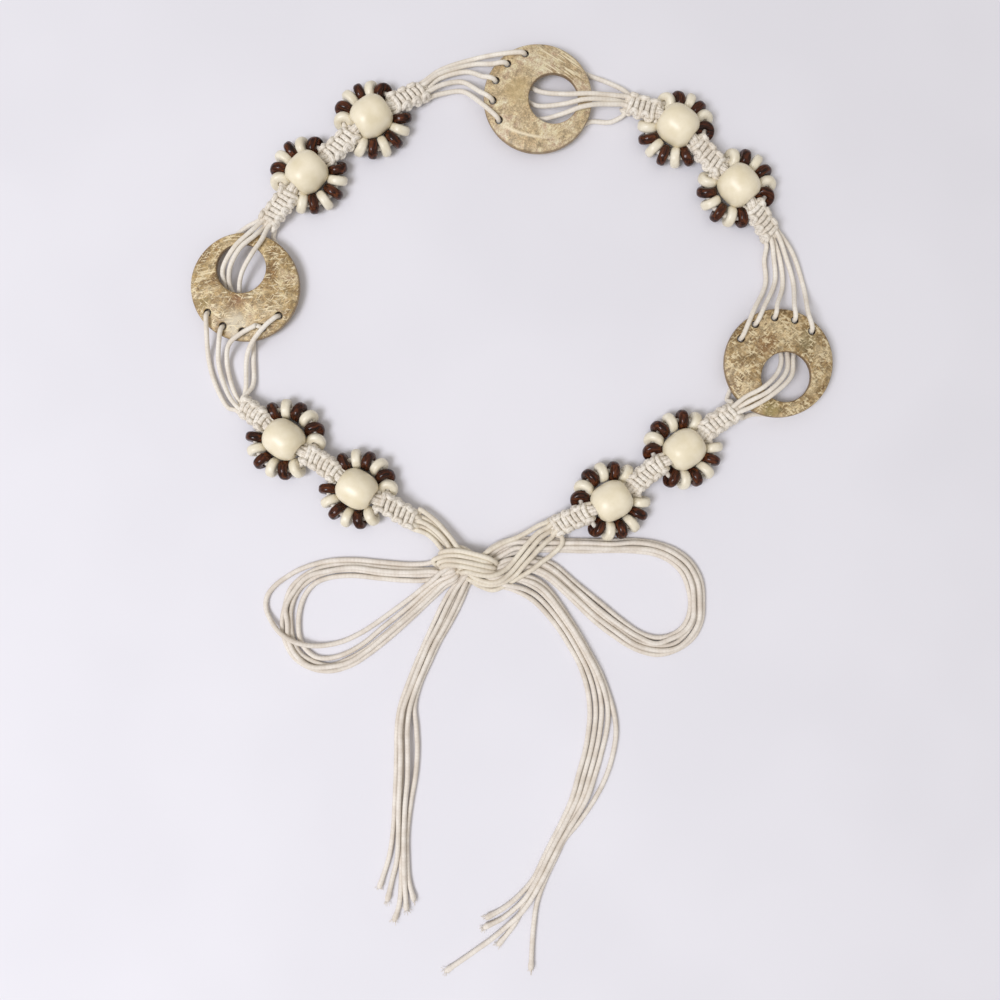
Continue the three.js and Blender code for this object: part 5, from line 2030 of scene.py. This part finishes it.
@dataclass(frozen=True)
class Bow:
    """The tie: two leads into the knot, its wraps, two loops and two tails of five cords each."""

    lead_out: float = 0.8
    fray_count: int = 11
    fray_length: float = 2.6
    fray_radius: float = 0.13
    fray_spread: float = 0.38
    fray_curl: float = 0.25
    fray_inside: float = 0.3
    fray_sides: int = 6
    fray_step: float = 0.6
    knob: float = 0.25
    knob_length: float = 2.6
    knob_width: float = 1.2
    end_length: float = 12.0
    end_gap: float = 0.05

    def lead_strands(self, side: str) -> list[Strand]:
        """Lays the five cords from a bar's end into the knot.

        Args:
            side: left or right.

        Returns:
            The strands.
        """
        end = f"lead_{side}"
        turn = 1 if side == "left" else -1
        strands = []
        for i, points in enumerate(LEADS[side]):
            start = [cord_slot(end, turn * (2 - i), reach) for reach in (-TUCKED, self.lead_out)]
            strands.append(Strand.through(f"{end}_{i + 1}", np.vstack([start, seen(points)])))
        return strands

    def tail_strands(self, side: str) -> list[Strand]:
        """Lays a tail: three cords on the table and two over them.

        Args:
            side: left or right.

        Returns:
            The strands.
        """
        strands = []
        for i, points in enumerate(TAILS[side]):
            strand = Strand.through(f"tail_{side}_{i + 1}", seen(points), held=1)
            if i >= TAIL_CORDS_BELOW:
                laid_over(strand, strands)
            self.raise_end(strand)
            strands.append(strand)
        return strands

    def from_end(self, path: Array) -> Array:
        """Returns how far each point of a tail's cord is from its end."""
        return (len(path) - 1 - np.arange(len(path))) * STRAND_STEP

    def raise_end(self, strand: Strand) -> None:
        """Lifts a tail's end so that its knob and its loose fibres rest on the table.

        Args:
            strand: the cord, which is changed.
        """
        lowest = strand.radius * (1.0 + self.knob) + self.end_gap
        share = np.clip(1.0 - self.from_end(strand.path) / self.end_length, 0.0, 1.0)
        lift = share * (lowest - strand.radius)
        strand.path[:, 2] = np.maximum(strand.path[:, 2], strand.radius + lift)

    def swell(self, path: Array) -> Array:
        """Returns how much thicker a tail's cord is along its last knob."""
        off = (self.from_end(path) - 0.5 * self.knob_length) / self.knob_width
        return 1.0 + self.knob * np.exp(-off ** 2)

    def fray(self, name: str, path: Array, finish: Material, seed: int) -> Piece:
        """Builds the loose fibres at a tail's end.

        Args:
            name: the piece's name.
            path: the cord's middle line.
            finish: the cotton.
            seed: which fibres these are.

        Returns:
            The piece.
        """
        chance = np.random.default_rng(seed)
        way = unit(path[-1] - path[-4])
        parts = MeshParts()
        for _ in range(self.fray_count):
            spread = chance.normal(0.0, self.fray_spread, 3)
            start = path[-1] - way * self.fray_inside + spread * 0.9
            bend = unit(way + spread)
            length = self.fray_length * chance.uniform(0.5, 1.1)
            points = np.array([start, start + bend * 0.5 * length,
                               start + bend * length + chance.normal(0.0, self.fray_curl, 3)])
            points[:, 2] = np.maximum(points[:, 2], self.fray_radius + self.end_gap)
            route = smooth_route(points, self.fray_step)
            add_tube(parts, route, self.fray_radius, sides=self.fray_sides)
        return put_on(parts.build(name, finish, "braid"), Cover.COTTON)

    def declare(self, strand: Strand) -> None:
        """Works out a free cord's first point in metres, and keeps nothing.

        Args:
            strand: its strand.
        """
        path = strand.path * MM
        tuple(path[0])

    def build(self, finish: Material, painted_shade: Material) -> list[Piece]:
        """Builds the whole bow.

        Args:
            finish: the cotton of the loops and tails.
            painted_shade: the same cotton, darker and yellower with painted shade, for the knot and its
                leads.

        Returns:
            The pieces.
        """
        leads = {side: self.lead_strands(side) for side in ("left", "right")}
        stray = Strand.through("loop_left_5", seen(LOOP_LEFT_STRAY), held=1)
        loops = {"left": LOOP_LEFT.strands(3) + [stray], "right": LOOP_RIGHT.strands(5)}
        tails = {side: self.tail_strands(side) for side in TAILS}
        wraps = [Strand.through(f"wrap_{i + 1}", seen(points), held=0)
                 for i, points in enumerate(BOW_WRAPS)]
        groups = [*leads.values(), *loops.values(), *tails.values(), wraps]
        Settling(passes=60, press=0.95).run([strand for group in groups for strand in group])
        pieces = []
        for kind, sides in (("loop", loops), ("tail", tails), ("lead", leads)):
            # The leads take the copy of the cotton with painted shade.
            cotton = painted_shade if kind == "lead" else finish
            for side, strands in sides.items():
                for i, strand in enumerate(strands):
                    swell = self.swell(strand.path) if kind == "tail" else None
                    piece = cord_piece(strand.name, f"tie_{kind}_{side}", [strand], cotton, 37.0 * i,
                                       swell=swell)
                    pieces.append(piece)
                    if kind == "tail":
                        fray = self.fray(f"{strand.name}_fray", strand.path, finish, 40 + i)
                        pieces.append(fray)
                        self.declare(strand)
                    elif kind == "loop":
                        self.declare(strand)
        # The knot's wraps take the copy with painted shade too.
        pieces.append(cord_piece("bow_wraps", "bow_knot", wraps, painted_shade, step=11.0))
        return pieces


# The table, the light and the camera.

@dataclass(frozen=True)
class Studio:
    """A pale table under a large soft light from the lower left, seen from straight above."""

    table_size: float = 9000.0
    key_power: float = 21.6
    key_size: float = 720.0
    key_place: Triple = (-800.0, -570.0, 1550.0)
    key_aim_y: float = -60.0
    key_colour: str = "#f3f4fc"
    sky_low: float = 0.455
    sky_high: float = 0.683
    sky_colour: str = "#f5f1ed"

    def add_camera(self) -> None:
        """Adds the camera above the bow, level with the photo's frame."""
        data = bpy.data.cameras.new("photo camera")
        data.sensor_width = SENSOR_WIDTH
        data.lens = SENSOR_WIDTH * EYE_HEIGHT / VIEW_WIDTH
        data.clip_start = 0.01
        camera = add_object("photo camera", data)
        camera.location = Vector((EYE[0] + PLAN_SHIFT[0], EYE[1] + PLAN_SHIFT[1], EYE_HEIGHT)) * MM
        bpy.context.scene.camera = camera

    def add_table(self) -> None:
        """Adds the table top."""
        half = 0.5 * self.table_size * MM
        mesh = bpy.data.meshes.new("table")
        mesh.from_pydata([(-half, -half, 0), (half, -half, 0), (half, half, 0), (-half, half, 0)],
                         [], [(0, 1, 2, 3)])
        mesh.materials.append(PaleTable().build())
        add_object("table", mesh)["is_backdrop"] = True

    def add_light(self) -> None:
        """Adds the window-like light, and a sky that is brighter overhead than at its edge."""
        data = bpy.data.lights.new("key", "AREA")
        data.energy = self.key_power
        data.size = self.key_size * MM
        data.color = linear(self.key_colour)[:3]
        key = add_object("key", data)
        key.location = Vector(self.key_place) * MM
        aim = Vector((0.0, self.key_aim_y * MM, 0.0)) - key.location
        key.rotation_euler = aim.to_track_quat("-Z", "Y").to_euler()
        world = bpy.data.worlds.new("sky")
        world.use_nodes = True
        tree = world.node_tree
        sky = tree.nodes["Background"]
        place = add_node(tree, "ShaderNodeTexCoord")
        split = add_node(tree, "ShaderNodeSeparateXYZ", {0: place.outputs["Generated"]})
        rise = add_node(tree, "ShaderNodeMapRange", {
            "Value": split.outputs["Z"], "To Min": self.sky_low, "To Max": self.sky_high})
        feed(sky, {"Color": linear(self.sky_colour), "Strength": rise.outputs["Result"]})
        bpy.context.scene.world = world
        bpy.context.scene.view_settings.view_transform = "Standard"


def corners(box: Any) -> list[list[float]]:
    """Returns a box as plain lists."""
    return [[float(value) for value in corner] for corner in box]


def report(*pieces: Piece) -> None:
    """Reports pieces that were built."""
    for piece in pieces:
        log.info("%s: %d faces", piece.name, len(piece.data.polygons))


def main() -> None:
    """Builds the scene, piece by piece."""
    logging.basicConfig(level=logging.INFO, format="%(name)s %(message)s")
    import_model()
    cad_box = corners(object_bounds())
    studio = Studio()
    studio.add_camera()
    loose = WaxedCottonCord().build()
    # A darker, yellower copy of the same cotton: painted shade for the knot and its leads.
    painted_shade = WaxedCottonCord("waxed braided cotton, worn", light="#e9e1cf", shade="#d9cebb").build()
    report(*Bow().build(loose, painted_shade))
    # A lighter copy of the same cotton: painted light for the ring cords and the small beads' cords.
    painted_light = WaxedCottonCord("waxed braided cotton, pulled tight", light="#efe9dd", shade="#e2d9ca").build()
    for cords in (
        RingCords("left", "left_below", "left_above", 1),
        RingCords("top", "top_before", "top_after", 1),
        RingCords("right", "right_above", "right_below", -1),
    ):
        report(*cords.build(painted_light))
    # A lighter copy of the same cotton for the knot bars: painted light, with deeper painted shade in the
    # braid's grooves.
    knot_painted_light_and_shade = WaxedCottonCord("waxed braided cotton, knotted", light="#f1ebdf", shade="#e2d9ca",
                              groove_shade="#8d7f6c", groove_shade_strength=0.34, relief_mm=0.2).build()
    for bar in knot_bars():
        report(*bar.build(knot_painted_light_and_shade))
    ivory = PaintedWood("ivory painted wood").build()
    small_ivory = PaintedWood("ivory painted wood, small", light="#efe8d4", shade="#e0d6bd",
                              grain_mm=0.9, tone_mm=4.0).build()
    brown = StainedWood().build()
    for number in range(1, len(BEADS) + 1):
        report(RoundBead(number).build(ivory))
        for where, hand in (("outer", 1), ("inner", -1)):
            report(*HalfWreath(number, where, hand).build(small_ivory, brown, painted_light))
    for side, ring in RINGS.items():
        report(ring.build(SHELL_FINISHES[side]))
    studio.add_table()
    studio.add_light()
    {"cad": cad_box, "visual": corners(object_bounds())}


if __name__ == "__main__":
    main()
